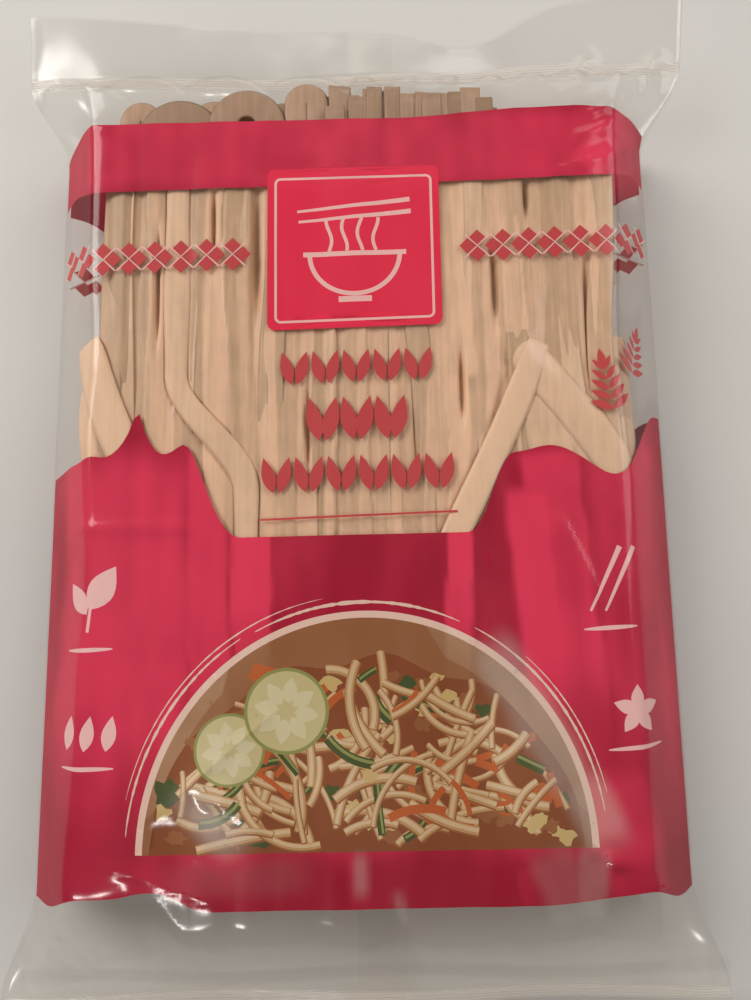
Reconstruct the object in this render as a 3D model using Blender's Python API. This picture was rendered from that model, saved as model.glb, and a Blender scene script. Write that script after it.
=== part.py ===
"""A sealed clear pack of folded rice noodles, lying on its back.

Metres, +Z up, +X to the right and +Y to the top of the pack as it is read.
The origin is under the middle of the pack, on the surface that it lies on.

The pack is a flat film tube drawn tight round a block of folded ribbons. The block
fills the middle, the tube folds to a crease along both sides, closes in a pressed seal
at each end and leaves a loose flap beyond each seal. The noodles show as low relief.
"""

import math

import bmesh
import bpy
import numpy as np

# Driving sizes of the film tube
FLAT_WIDTH = 0.1560
BODY_WIDTH_TOP = 0.1385
BODY_WIDTH_FOOT = 0.1420
SEAL_Y = 0.1045
FLAP = 0.0165
FILM = 0.0009
CREASE_HEIGHT = 0.0070

# Driving sizes of the block of noodles inside it
BLOCK_WIDTH = 0.1130
BLOCK_TOP = 0.0960
BLOCK_FOOT = -0.0840
BLOCK_HEIGHT = 0.0238
BACK_WIDTH = 0.1200
BACK_LENGTH = 0.1740

# Levels of the two end seals, and how the flaps beyond them lift or droop
TOP_SEAL_LEVEL = 0.0112
FOOT_SEAL_LEVEL = 0.0052
LEAST_LEVEL = 0.0006

# The folded ribbons that press up under the film
RUNS = 12
RUN_WIDTHS = (0.7, 1.3)
RUN_RISE = (0.0003, 0.0012)
RUN_SWAY = 0.0013
LOOP_PITCH = 0.0185
LOOP_DEPTH = 0.0050
STEP_DEPTH = 0.0022
RIBBON = 0.0048
FOOT_CORNER = (-0.034, 0.0075)
UNEVEN = 0.0006
RAGGED = 0.0011
SEED = 7

# Ribbons that lie across the others: start, end and rise over the block
STRAYS = (
    ((-0.056, 0.033), (-0.045, 0.015), 0.0010),
    ((-0.044, 0.022), (-0.029, 0.006), 0.0009),
    ((0.026, -0.004), (0.041, 0.052), 0.0012),
    ((0.030, 0.038), (0.052, 0.014), 0.0010),
    ((-0.022, 0.044), (-0.006, -0.020), 0.0008),
)
STRAY_HALF = 0.0030

# Folds drawn into the film from the block's corners: start, end, half-width and rise
FOLDS = (
    ((0.050, 0.088), (0.073, 0.106), 0.0026, 0.0026),
    ((0.040, 0.093), (0.056, 0.106), 0.0022, 0.0018),
    ((-0.052, 0.088), (-0.072, 0.104), 0.0026, 0.0022),
    ((0.021, 0.095), (0.028, 0.121), 0.0035, -0.0018),
    ((-0.060, -0.080), (-0.070, -0.101), 0.0026, 0.0022),
    ((-0.033, -0.084), (-0.026, -0.101), 0.0022, 0.0016),
    ((-0.066, -0.100), (-0.036, -0.092), 0.0022, 0.0015),
    ((0.056, -0.080), (0.072, -0.102), 0.0028, 0.0024),
    ((0.010, -0.088), (0.044, -0.096), 0.0045, 0.0020),
)

# Printed fields, in the plane of the pack
BAND_TOP = (0.0705, 0.0862)
FIELD_FOOT = -0.0815
FIELD_TOP_MIDDLE = -0.0070
FIELD_TOP_SIDES = 0.0105
FIELD_MIDDLE_HALF = 0.0270
PANEL = (-0.0190, 0.0190, 0.0377, 0.0745)

# Cells of the two sheets: the columns, and the rows between the places named here
COLUMNS_SIDE = 4
COLUMNS_BLOCK = 40
ROW_STOPS = (
    (-SEAL_Y - FLAP, 0),
    (-SEAL_Y - 0.0012, 3),
    (-SEAL_Y + 0.0012, 1),
    (BLOCK_FOOT + 0.0040, 8),
    (BAND_TOP[0], 25),
    (BAND_TOP[1], 4),
    (SEAL_Y - 0.0012, 9),
    (SEAL_Y + 0.0012, 1),
    (SEAL_Y + FLAP, 3),
)
FLAT_ANGLE = math.radians(0.2)


def ease(t):
    """A smooth step from 0 to 1."""
    t = np.clip(t, 0.0, 1.0)
    return t * t * (3.0 - 2.0 * t)


def taut(t, corner=0.25):
    """The fall of tight film from an edge: round at the edge at 0, then straight to 1."""
    t = np.clip(t, 0.0, 1.0)
    return (np.sqrt(t * t + corner * corner) - corner) / (math.sqrt(1.0 + corner * corner) - corner)


def ridge(x, y, start, end, half):
    """1 along the line from start to end, falling off to the sides and softly at the ends."""
    along = np.subtract(end, start)
    length = float(np.hypot(*along))
    along = along / length
    t = (x - start[0]) * along[0] + (y - start[1]) * along[1]
    off = (x - start[0]) * along[1] - (y - start[1]) * along[0]
    ends = ease(0.5 + t / (3.0 * half)) * ease(0.5 + (length - t) / (3.0 * half))
    return np.exp(-((off / half) ** 2)) * ends


def end_share(y):
    """0 along the body, rising to 1 at the seals."""
    top = ease((y - BLOCK_TOP + 0.011) / (SEAL_Y - BLOCK_TOP + 0.011))
    foot = ease((BLOCK_FOOT + 0.003 - y) / (SEAL_Y + BLOCK_FOOT + 0.003))
    return np.maximum(top, foot)


def half_width(y):
    """Half the width of the tube: drawn in by the block, flat at the seals."""
    t = (y - BLOCK_FOOT) / (BLOCK_TOP - BLOCK_FOOT)
    body = 0.5 * (BODY_WIDTH_FOOT + (BODY_WIDTH_TOP - BODY_WIDTH_FOOT) * np.clip(t, 0.0, 1.0))
    return body + (0.5 * FLAT_WIDTH - body) * end_share(y)


def seal_level(s, y):
    """Height of the seals and flaps: s runs from -1 to 1 across the pack."""
    dip = np.exp(-(((s - 0.36) / 0.15) ** 2))
    top = TOP_SEAL_LEVEL + 0.0020 * np.sin(1.5 * math.pi * s - 0.5) - 0.0042 * dip
    top = top + 0.0034 * s * np.abs(s)
    lift = -0.0010 + 0.0015 * s + 0.0052 * s * s - 0.0032 * dip
    top = top + lift * np.clip((y - SEAL_Y) / FLAP, 0.0, 1.0)
    foot = FOOT_SEAL_LEVEL + 0.0013 * np.sin(2.1 * math.pi * s + 1.0)
    droop = -0.0024 + 0.0016 * np.cos(3.0 * math.pi * s)
    foot = foot + droop * np.clip((-SEAL_Y - y) / FLAP, 0.0, 1.0)
    return np.maximum(np.where(y > 0.0, top, foot), LEAST_LEVEL)


def middle(s, y):
    """Height of the side crease and, at the ends, of the closed tube."""
    share = end_share(y)
    return CREASE_HEIGHT + (seal_level(s, y) - CREASE_HEIGHT) * share


def block_end_top(x):
    """Upper end of the block: rounded hairpin loops on the left, cut ribbon ends on the right."""
    t = (x + 0.5 * BLOCK_WIDTH) / LOOP_PITCH
    arch = 1.0 - np.sqrt(np.clip(1.0 - (2.0 * (t - np.floor(t)) - 1.0) ** 2, 0.0, 1.0))
    steps = 0.5 - 0.5 * np.sign(np.sin(x / RIBBON * math.pi))
    return BLOCK_TOP - np.where(x < 0.0, LOOP_DEPTH * arch, STEP_DEPTH * steps)


def block_end_foot(x):
    """Lower end of the block: shallow folds, set back at the left corner."""
    folds = 0.0015 * (1.0 - np.abs(np.cos(x / LOOP_PITCH * math.pi)))
    corner_x, set_back = FOOT_CORNER
    return BLOCK_FOOT + folds + set_back * ease((corner_x - x) / 0.010)


def block_edge(x, y):
    """Half the block's width at this place: its two long sides are ragged in different ways."""
    left = np.sin(y / 0.0130 + 0.6) + 0.7 * np.sin(y / 0.0071)
    right = np.sin(y / 0.0160 + 2.1) + 0.6 * np.sin(y / 0.0083 + 1.0)
    waist = 0.0014 * ease(1.0 - np.abs(y) / 0.080)
    return 0.5 * BLOCK_WIDTH - waist + RAGGED * np.where(x < 0.0, left, right) * 0.6


def run_relief(x, y):
    """The runs of ribbon that press up side by side under the film."""
    rng = np.random.default_rng(SEED)
    widths = rng.uniform(*RUN_WIDTHS, RUNS)
    widths = widths / widths.sum() * BLOCK_WIDTH
    centres = np.cumsum(widths) - 0.5 * widths - 0.5 * BLOCK_WIDTH
    rise = np.zeros_like(x)
    for centre, width in zip(centres, widths):
        height = rng.uniform(*RUN_RISE)
        sway = RUN_SWAY * np.sin(y / 0.047 + rng.uniform(0.0, 2.0 * math.pi))
        off = (x - centre - sway) / (0.52 * width)
        rise = np.maximum(rise, height * np.clip(1.0 - off * off, 0.0, 1.0))
    return rise


def unevenness(x, y):
    """The block's slow rise and fall."""
    return UNEVEN * (np.sin(x / 0.023 + 0.8) * np.cos(y / 0.036 + 0.5) + 0.6 * np.sin(y / 0.027 + x / 0.050))


def front_height(s, y):
    """Height of the front film."""
    x = s * half_width(y)
    edge = block_edge(x, y)
    across = 1.0 - taut((np.abs(x) - edge) / (half_width(y) - edge))
    end_top = block_end_top(x)
    along_top = 1.0 - taut((y - end_top) / (SEAL_Y - 0.0012 - end_top))
    end_foot = block_end_foot(x)
    along_foot = 1.0 - taut((end_foot - y) / (SEAL_Y - 0.0012 + end_foot))
    cover = across * along_top * along_foot
    level = BLOCK_HEIGHT + run_relief(x, y) + unevenness(x, y)
    for start, end, rise in STRAYS:
        level = level + rise * ridge(x, y, start, end, STRAY_HALF)
    height = middle(s, y) + (level - middle(s, y)) * cover
    for start, end, half, rise in FOLDS:
        height = height + rise * ridge(x, y, start, end, half) * (1.0 - cover)
    return np.maximum(height, middle(s, y)) + 0.5 * FILM


def back_height(s, y):
    """Height of the back film: flat where it lies on the table."""
    x = s * half_width(y)
    edge = 0.5 * BACK_WIDTH
    across = 1.0 - taut((np.abs(x) - edge) / (half_width(y) - edge))
    end = 0.5 * BACK_LENGTH
    along = 1.0 - taut((np.abs(y) - end) / (SEAL_Y - 0.0012 - end))
    cover = across * along
    height = (middle(s, y) - 0.5 * FILM) * (1.0 - cover)
    return np.maximum(height, 0.0)


def row_places():
    """The rows of the sheets, close together where the film turns."""
    places = [ROW_STOPS[0][0]]
    for (before, _), (after, count) in zip(ROW_STOPS, ROW_STOPS[1:]):
        places.extend(np.linspace(before, after, count + 1)[1:])
    return np.array(places)


def column_share(column, y):
    """Place across the pack from -1 to 1: a few columns on each side slope, the rest over the block."""
    edge = (0.5 * BLOCK_WIDTH + 0.0005) / half_width(y)
    left = -1.0 + (1.0 - edge) * column / COLUMNS_SIDE
    block = -edge + 2.0 * edge * (column - COLUMNS_SIDE) / COLUMNS_BLOCK
    right = edge + (1.0 - edge) * (column - COLUMNS_SIDE - COLUMNS_BLOCK) / COLUMNS_SIDE
    return np.where(block < -edge, left, np.where(block > edge, right, block))


def film_sheet(bm, height_of):
    """A grid of film between the two side creases, shaped by a height; returns its vertices."""
    rows = row_places()
    columns = COLUMNS_BLOCK + 2 * COLUMNS_SIDE
    made = bmesh.ops.create_grid(bm, x_segments=columns, y_segments=len(rows) - 1, size=1.0)
    flat = np.array([vert.co[:2] for vert in made["verts"]])
    column, row = np.rint((flat.T + 1.0) * 0.5 * [[columns], [len(rows) - 1]]).astype(int)
    y = rows[row]
    s = column_share(column, y)
    for vert, place in zip(made["verts"], zip(s * half_width(y), y, height_of(s, y))):
        vert.co = [float(value) for value in place]
    return made["verts"]


def in_print(x, y):
    """Whether a place on the front is under the pink print."""
    if BAND_TOP[0] < y < BAND_TOP[1]:
        return True
    if PANEL[0] < x < PANEL[1] and PANEL[2] < y < PANEL[3]:
        return True
    upper = FIELD_TOP_MIDDLE if abs(x) < FIELD_MIDDLE_HALF else FIELD_TOP_SIDES
    return FIELD_FOOT < y < upper


def material(name, colour, roughness):
    made = bpy.data.materials.new(name)
    made.use_nodes = True
    shader = made.node_tree.nodes["Principled BSDF"]
    shader.inputs["Base Color"].default_value = (*colour, 1.0)
    shader.inputs["Roughness"].default_value = roughness
    shader.inputs["Metallic"].default_value = 0.0
    return made


def make_pack():
    """The closed pack: front and back sheets, joined round their rim."""
    bm = bmesh.new()
    front = film_sheet(bm, front_height)
    front_faces = {face for vert in front for face in vert.link_faces}
    back = film_sheet(bm, back_height)
    back_faces = list({face for vert in back for face in vert.link_faces})
    bmesh.ops.reverse_faces(bm, faces=back_faces)
    rim = [edge for edge in bm.edges if edge.is_boundary]
    bmesh.ops.bridge_loops(bm, edges=rim)
    for face in front_faces:
        middle_point = face.calc_center_median()
        face.material_index = 1 if in_print(middle_point.x, middle_point.y) else 0
    flat = [face for face in back_faces if face.calc_center_median().z < 1e-6]
    flat_edges = list({edge for face in flat for edge in face.edges})
    flat_verts = list({vert for face in flat for vert in face.verts})
    bmesh.ops.dissolve_limit(bm, angle_limit=FLAT_ANGLE, verts=flat_verts, edges=flat_edges)
    bmesh.ops.triangulate(bm, faces=bm.faces[:])
    bmesh.ops.recalc_face_normals(bm, faces=bm.faces[:])
    mesh = bpy.data.meshes.new("noodle_pack")
    bm.to_mesh(mesh)
    bm.free()
    mesh.shade_smooth()
    mesh.set_sharp_from_angle(angle=math.radians(50))
    mesh.materials.append(material("clear_film", (0.62, 0.50, 0.36), 0.25))
    mesh.materials.append(material("pink_print", (0.62, 0.03, 0.10), 0.25))
    return bpy.data.objects.new("noodle_pack", mesh)


for old in list(bpy.data.objects):
    bpy.data.objects.remove(old, do_unlink=True)
collection = bpy.data.collections.new("sealed_noodle_pack")
bpy.context.scene.collection.children.link(collection)
collection.objects.link(make_pack())
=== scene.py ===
# %% [markdown]
# # A sealed pack of folded rice noodles
# The real thing is a tube of clear film drawn tight round a brick of dried flat noodles, and
# printed on its inner side. It could be one painted box, but light has to pass through the
# film, so this lesson makes it as it is made: noodles, then ink, then a thin glossy skin.
# The solid part is loaded as a fixed frame, and every piece is placed in its metres.

import math

import bpy
import numpy as np
from mathutils import Euler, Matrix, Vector, geometry


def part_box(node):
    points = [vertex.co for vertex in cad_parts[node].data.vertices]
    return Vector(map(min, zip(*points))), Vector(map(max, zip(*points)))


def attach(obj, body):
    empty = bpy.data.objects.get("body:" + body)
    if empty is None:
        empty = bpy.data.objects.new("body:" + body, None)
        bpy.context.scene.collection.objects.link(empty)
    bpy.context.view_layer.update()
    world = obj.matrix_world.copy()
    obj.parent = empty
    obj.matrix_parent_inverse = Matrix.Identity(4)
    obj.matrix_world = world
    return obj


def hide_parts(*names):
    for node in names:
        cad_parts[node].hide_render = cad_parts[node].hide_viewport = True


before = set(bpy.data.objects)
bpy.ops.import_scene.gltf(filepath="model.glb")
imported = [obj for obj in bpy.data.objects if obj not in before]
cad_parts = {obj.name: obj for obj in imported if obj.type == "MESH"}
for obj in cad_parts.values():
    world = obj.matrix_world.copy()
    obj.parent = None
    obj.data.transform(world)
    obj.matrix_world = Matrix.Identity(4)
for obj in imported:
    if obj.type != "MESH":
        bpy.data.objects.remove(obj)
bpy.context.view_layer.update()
low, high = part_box("noodle_pack")
print("solid pack in mm:", [round(1000 * (b - a), 1) for a, b in zip(low, high)])

# %% [markdown]
# ## The form of the film
# A flat tube pulled over a brick keeps its length round the brick: it is narrow where the
# brick fills it and wide where it lies flat at the seals. One could sculpt this, but a few
# formulas give the same form as the solid part at any fineness, so film, ink and noodles
# can all ask how high the film is at a place.

# %% Sizes of the tube and the brick
FLAT_HALF = 0.5 * (high.x - low.x)
FLAP_END = 0.5 * (high.y - low.y)
SEAL_Y = 0.1045
SEAL_HALF = 0.0012
BODY_HALF_TOP = 0.06925
BODY_HALF_FOOT = 0.0710
CREASE_HEIGHT = 0.0070
FILM_HALF = 0.00045
BLOCK_HALF = 0.0565
BLOCK_TOP = 0.0960
BLOCK_FOOT = -0.0840
BLOCK_HEIGHT = 0.0238
BACK_HALF = 0.0600
BACK_END = 0.0870
RIBBON = 0.0048
LOOP_PITCH = 0.0185
print("tube laid flat is", round(2000 * FLAT_HALF), "mm wide")


# %% Helpers that bend film
NOISE_CELLS = 96
STRIP_RAGGED = 0.0006


def ease(t):
    """A smooth step from 0 to 1."""
    t = np.clip(t, 0.0, 1.0)
    return t * t * (3.0 - 2.0 * t)


def taut(t, corner=0.25):
    """The fall of tight film from an edge: round at the edge at 0, then straight to 1."""
    t = np.clip(t, 0.0, 1.0)
    return (np.sqrt(t * t + corner * corner) - corner) / (math.sqrt(1.0 + corner * corner) - corner)


def about_line(x, y, start, end):
    """How far along the line from start to end a place is, how far off it, and its length."""
    ahead = np.subtract(end, start)
    length = float(np.hypot(*ahead))
    ahead = ahead / length
    t = (x - start[0]) * ahead[0] + (y - start[1]) * ahead[1]
    off = (x - start[0]) * ahead[1] - (y - start[1]) * ahead[0]
    return t, off, length


def ridge(x, y, start, end, half, sharp=False):
    """1 along the line from start to end, falling off to the sides and softly at the ends."""
    t, off, length = about_line(x, y, start, end)
    ends = ease(0.5 + t / (3.0 * half)) * ease(0.5 + (length - t) / (3.0 * half))
    falling = np.exp(-np.abs(off) / half) if sharp else np.exp(-((off / half) ** 2))
    return falling * ends


def soft_noise(x, y, cell, seed):
    """Smooth noise from -1 to 1, in bumps about one cell across."""
    count = NOISE_CELLS
    lattice = np.random.default_rng(seed).uniform(-1.0, 1.0, (count, count))
    u = x / cell + 500.0
    v = y / cell + 500.0
    i = np.floor(u).astype(int)
    j = np.floor(v).astype(int)
    across = ease(u - i)
    along = ease(v - j)
    near = lattice[i % count, j % count] * (1 - across) + lattice[(i + 1) % count, j % count] * across
    j = j + 1
    far = lattice[i % count, j % count] * (1 - across) + lattice[(i + 1) % count, j % count] * across
    return near * (1 - along) + far * along


def strip(x, y, start, end, half, soft, fade=0.030):
    """1 in a strip with uneven sides; soft is the width of its edge and fade that of its far end."""
    t, off, length = about_line(x, y, start, end)
    off = off + STRIP_RAGGED * soft_noise(x, y, 0.0060, 26)
    ends = ease(0.5 + t / (4.0 * soft)) * ease(0.5 + (length - t) / fade)
    return ease(0.5 + (half - np.abs(off)) / (2.0 * soft)) * ends


# %% Plan of the tube and level of its seals
def end_share(y):
    """0 along the body, rising to 1 at the seals."""
    top = ease((y - BLOCK_TOP + 0.011) / (SEAL_Y - BLOCK_TOP + 0.011))
    foot = ease((BLOCK_FOOT + 0.003 - y) / (SEAL_Y + BLOCK_FOOT + 0.003))
    return np.maximum(top, foot)


def half_width(y):
    """Half the width of the tube: drawn in by the brick, flat at the seals."""
    t = np.clip((y - BLOCK_FOOT) / (BLOCK_TOP - BLOCK_FOOT), 0.0, 1.0)
    body = BODY_HALF_FOOT + (BODY_HALF_TOP - BODY_HALF_FOOT) * t
    return body + (FLAT_HALF - body) * end_share(y)


def seal_level(s, y):
    """Height of the seals and flaps: s runs from -1 to 1 across the pack."""
    dip = np.exp(-(((s - 0.36) / 0.15) ** 2))
    top = 0.0112 + 0.0016 * np.sin(1.5 * math.pi * s - 0.5) - 0.0020 * dip + 0.0030 * s * np.abs(s)
    lift = -0.0010 + 0.0015 * s + 0.0048 * s * s - 0.0014 * dip
    top = top + lift * np.clip((y - SEAL_Y) / (FLAP_END - SEAL_Y), 0.0, 1.0)
    foot = 0.0052 + 0.0013 * np.sin(2.1 * math.pi * s + 1.0)
    droop = -0.0024 + 0.0016 * np.cos(3.0 * math.pi * s)
    foot = foot + droop * np.clip((-SEAL_Y - y) / (FLAP_END - SEAL_Y), 0.0, 1.0)
    return np.maximum(np.where(y > 0.0, top, foot), 0.0006)


def middle(s, y):
    """Height of the side crease and, at the ends, of the closed tube."""
    return CREASE_HEIGHT + (seal_level(s, y) - CREASE_HEIGHT) * end_share(y)


# %% Plan and relief of the brick
def block_end_top(x):
    """Upper end of the brick: rounded hairpin loops on the left, cut ribbon ends on the right."""
    t = (x + BLOCK_HALF) / LOOP_PITCH
    arch = 1.0 - np.sqrt(np.clip(1.0 - (2.0 * (t - np.floor(t)) - 1.0) ** 2, 0.0, 1.0))
    steps = 0.5 - 0.5 * np.sign(np.sin(x / RIBBON * math.pi))
    return BLOCK_TOP - np.where(x < 0.0, 0.0050 * arch, 0.0022 * steps)


def block_end_foot(x):
    """Lower end of the brick: shallow folds, set back at the left corner."""
    folds = 0.0015 * (1.0 - np.abs(np.cos(x / LOOP_PITCH * math.pi)))
    return BLOCK_FOOT + folds + 0.0075 * ease((-0.034 - x) / 0.010)


def block_edge(x, y):
    """Half the brick's width at this place: its two long sides are ragged in different ways."""
    left = np.sin(y / 0.0130 + 0.6) + 0.7 * np.sin(y / 0.0071)
    right = np.sin(y / 0.0160 + 2.1) + 0.6 * np.sin(y / 0.0083 + 1.0)
    waist = 0.0014 * ease(1.0 - np.abs(y) / 0.080)
    return BLOCK_HALF - waist + 0.00066 * np.where(x < 0.0, left, right)


def run_relief(x, y):
    """The runs of ribbon that press up side by side under the film."""
    rng = np.random.default_rng(7)
    widths = rng.uniform(0.7, 1.3, 12)
    widths = widths / widths.sum() * 2.0 * BLOCK_HALF
    centres = np.cumsum(widths) - 0.5 * widths - BLOCK_HALF
    rise = np.zeros_like(x)
    for centre, width in zip(centres, widths):
        height = rng.uniform(0.0000, 0.0003)
        sway = 0.0013 * np.sin(y / 0.047 + rng.uniform(0.0, 2.0 * math.pi))
        off = (x - centre - sway) / (0.52 * width)
        rise = np.maximum(rise, height * np.clip(1.0 - off * off, 0.0, 1.0))
    return rise


# %% Height of the front film and of the back film
LOW_RIDGES = (
    ((-0.056, 0.033), (-0.045, 0.015), 0.0010),
    ((-0.044, 0.022), (-0.029, 0.006), 0.0009),
    ((0.026, -0.004), (0.041, 0.052), 0.0012),
    ((0.030, 0.038), (0.052, 0.014), 0.0010),
    ((-0.022, 0.044), (-0.006, -0.020), 0.0008),
)
FOLDS = (
    ((0.050, 0.088), (0.073, 0.106), 0.0026, 0.0026),
    ((0.040, 0.093), (0.056, 0.106), 0.0022, 0.0018),
    ((-0.052, 0.088), (-0.072, 0.104), 0.0026, 0.0022),
    ((0.021, 0.095), (0.028, 0.121), 0.0035, -0.0018),
    ((-0.060, -0.080), (-0.070, -0.101), 0.0026, 0.0022),
    ((-0.033, -0.084), (-0.026, -0.101), 0.0022, 0.0016),
    ((-0.066, -0.100), (-0.036, -0.092), 0.0022, 0.0015),
    ((0.056, -0.080), (0.072, -0.102), 0.0028, 0.0024),
    ((0.010, -0.088), (0.044, -0.096), 0.0045, 0.0020),
)


def front_cover(x, y):
    """How far the brick holds the front film up: 1 over the brick, 0 at creases and seals."""
    across = 1.0 - taut((np.abs(x) - block_edge(x, y)) / (half_width(y) - block_edge(x, y)))
    end_top = block_end_top(x)
    top = 1.0 - taut((y - end_top) / (SEAL_Y - SEAL_HALF - end_top))
    end_foot = block_end_foot(x)
    foot = 1.0 - taut((end_foot - y) / (SEAL_Y - SEAL_HALF + end_foot))
    return across * top * foot


def front_form(x, y):
    """Height of the solid's front face."""
    s = x / half_width(y)
    cover = front_cover(x, y)
    uneven = np.sin(x / 0.023 + 0.8) * np.cos(y / 0.036 + 0.5) + 0.6 * np.sin(y / 0.027 + x / 0.050)
    level = BLOCK_HEIGHT + run_relief(x, y) + 0.0006 * uneven
    for start, end, rise in LOW_RIDGES:
        level = level + 0.3 * rise * ridge(x, y, start, end, 0.0030)
    height = middle(s, y) + (level - middle(s, y)) * cover
    for start, end, half, rise in FOLDS:
        height = height + rise * ridge(x, y, start, end, half) * (1.0 - cover)
    return np.maximum(height, middle(s, y)) + FILM_HALF


def back_form(x, y):
    """Height of the solid's underside: flat where it lies on the table."""
    across = 1.0 - taut((np.abs(x) - BACK_HALF) / (half_width(y) - BACK_HALF))
    along = 1.0 - taut((np.abs(y) - BACK_END) / (SEAL_Y - SEAL_HALF - BACK_END))
    height = (middle(x / half_width(y), y) - FILM_HALF) * (1.0 - across * along)
    return np.maximum(height, 0.0)


# %% [markdown]
# ## Fine creases
# Stiff film doesn't stretch, so it takes up spare length in small creases: pleats between the
# brick's ends and the seals, a web of fine lines at the corners, and long shallow pulls
# between one raised ribbon and the next. A bump map could fake them, but they catch the light
# at their crests, so they are part of the mesh: noise stretched one way, and a few drawn lines.

# %% Creases that the brick pulls into the film
CREASES = (
    ((0.046, 0.091), (0.072, 0.1015), 0.0007, 0.0009),
    ((0.052, 0.086), (0.069, 0.0935), 0.0006, 0.0007),
    ((0.049, 0.0815), (0.067, 0.084), 0.0006, 0.0005),
    ((0.036, 0.0945), (0.062, 0.1035), 0.0006, 0.0008),
    ((0.0480, 0.0790), (0.0640, 0.0885), 0.0010, 0.0006),
    ((0.0440, 0.0725), (0.0600, 0.0775), 0.0010, 0.0005),
    ((-0.050, 0.089), (-0.073, 0.1015), 0.0007, 0.0008),
    ((-0.054, 0.083), (-0.068, 0.090), 0.0005, 0.0005),
    ((-0.060, -0.0815), (-0.0665, -0.0930), 0.0005, 0.0009),
    ((-0.0655, -0.0962), (-0.038, -0.0900), 0.0006, 0.0010),
    ((-0.0325, -0.0860), (-0.0230, -0.0965), 0.0005, 0.0009),
    ((0.053, -0.0800), (0.0700, -0.0960), 0.0006, 0.0009),
    ((0.058, -0.0770), (0.0690, -0.0830), 0.0005, 0.0006),
    ((-0.0500, -0.0720), (-0.0290, -0.0790), 0.0008, 0.0005),
    ((-0.0640, -0.0860), (-0.0520, -0.1010), 0.0006, 0.0009),
    ((-0.0600, -0.0985), (-0.0330, -0.0960), 0.0006, 0.0008),
    ((0.0630, -0.0860), (0.0690, -0.0960), 0.0005, 0.0009),
    ((0.0020, -0.0880), (-0.0040, -0.1010), 0.0010, 0.0006),
    ((0.0270, -0.0110), (0.0264, -0.0290), 0.0005, 0.00050),
    ((0.0240, -0.0030), (0.0215, -0.0600), 0.0010, 0.00035),
    ((-0.0600, -0.0046), (-0.0350, -0.0050), 0.0012, 0.00060),
    ((0.0415, -0.0040), (0.0505, -0.0230), 0.0012, 0.00060),
    ((-0.0180, -0.0430), (-0.0430, -0.0640), 0.0014, 0.00045),
)
CRUMPLES = (
    (0.0488, -0.0735, 0.0050, 0.00075),
    (-0.0292, -0.0610, 0.0080, 0.00060),
    (-0.0420, -0.0740, 0.0050, 0.00030),
    (-0.0480, -0.1000, 0.0130, 0.00055),
    (0.0640, -0.0900, 0.0080, 0.00050),
)


def crease_relief(x, y):
    """The small rise and fall that the film adds to the form."""
    cover = front_cover(x, y)
    free = 4.0 * cover * (1.0 - cover)
    loose = 1.0 - cover
    pleats = soft_noise(x, 0.22 * y, 0.0034, 11) * 0.00034 * free
    flap = (soft_noise(x, y, 0.0125, 12) * 0.00045 + soft_noise(x, y, 0.0046, 13) * 0.00013) * loose
    pulls = soft_noise(x, 0.14 * y, 0.0026, 14) * 0.00007 + soft_noise(x, 0.5 * y, 0.015, 15) * 0.00022
    slant = soft_noise(x + 0.6 * y, y - 0.5 * x, 0.0050, 16) * 0.00020 * free
    relief = pleats + flap + slant + pulls * cover
    for start, end, half, rise in CREASES:
        relief = relief + rise * ridge(x, y, start, end, half, sharp=True)
    for at_x, at_y, reach, rise in CRUMPLES:
        near = np.exp(-((x - at_x) ** 2 + (y - at_y) ** 2) / reach**2)
        relief = relief + soft_noise(x + 0.4 * y, y, 0.0026, 17) * rise * near
    seal = np.exp(-(((np.abs(y) - SEAL_Y) / 0.0030) ** 2))
    edge = ease((1.0 - np.abs(x / half_width(y))) / 0.03)
    return relief * (1.0 - 0.8 * seal) * edge


def seal_ribs(y):
    """The fine ribs that the sealing bar presses across the tube."""
    inside = ease((SEAL_HALF - np.abs(np.abs(y) - SEAL_Y)) / 0.0003)
    return 0.00010 * np.sin((np.abs(y) - SEAL_Y) * 2.0 * math.pi / 0.0006) * inside


def film_front(x, y):
    """Height of the front film with its creases."""
    return np.maximum(front_form(x, y) + crease_relief(x, y), back_form(x, y) + 0.0002) + seal_ribs(y)


def film_back(x, y):
    """Height of the back film, which lies on the table."""
    lifted = ease(back_form(x, y) / 0.002)
    relief = (soft_noise(x, 0.3 * y, 0.0060, 21) * 0.00025 + soft_noise(x, y, 0.014, 22) * 0.0003) * lifted
    edge = ease((1.0 - np.abs(x / half_width(y))) / 0.03)
    return np.maximum(back_form(x, y) + relief * edge, 0.00002) + seal_ribs(y)


# %% [markdown]
# ## Making meshes
# Two kinds of mesh are enough for this pack: a grid of points for film and noodles, and a map
# of small triangles for print, which must follow the film. Both end in the same few steps, so
# one function makes every piece and says which part of the solid pack it stands for.

# %% Mesh makers
def new_piece(name, points, faces, material):
    """A mesh object from points and faces that rides on the pack and stands for it."""
    mesh = bpy.data.meshes.new(name)
    mesh.from_pydata(np.asarray(points, float).tolist(), [], faces)
    mesh.update()
    mesh.materials.append(material)
    mesh.shade_smooth()
    piece = bpy.data.objects.new(name, mesh)
    bpy.context.scene.collection.objects.link(piece)
    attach(piece, "root")
    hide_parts("noodle_pack")
    print(name, "has", len(mesh.polygons), "faces")
    return piece


def mark(piece, label, values):
    """Write a number for each point of a piece, which its shader reads."""
    piece.data.attributes.new(label, "FLOAT", "POINT").data.foreach_set("value", values)


def grid_faces(rows, columns, start=0, wrap=False):
    """Quads between the points of a grid; wrap joins each row's last point to its first."""
    faces = []
    steps = columns if wrap else columns - 1
    for row in range(rows - 1):
        here = start + row * columns
        for column in range(steps):
            after = (column + 1) % columns
            faces.append((here + column, here + after, here + columns + after, here + columns + column))
    return faces


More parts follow.
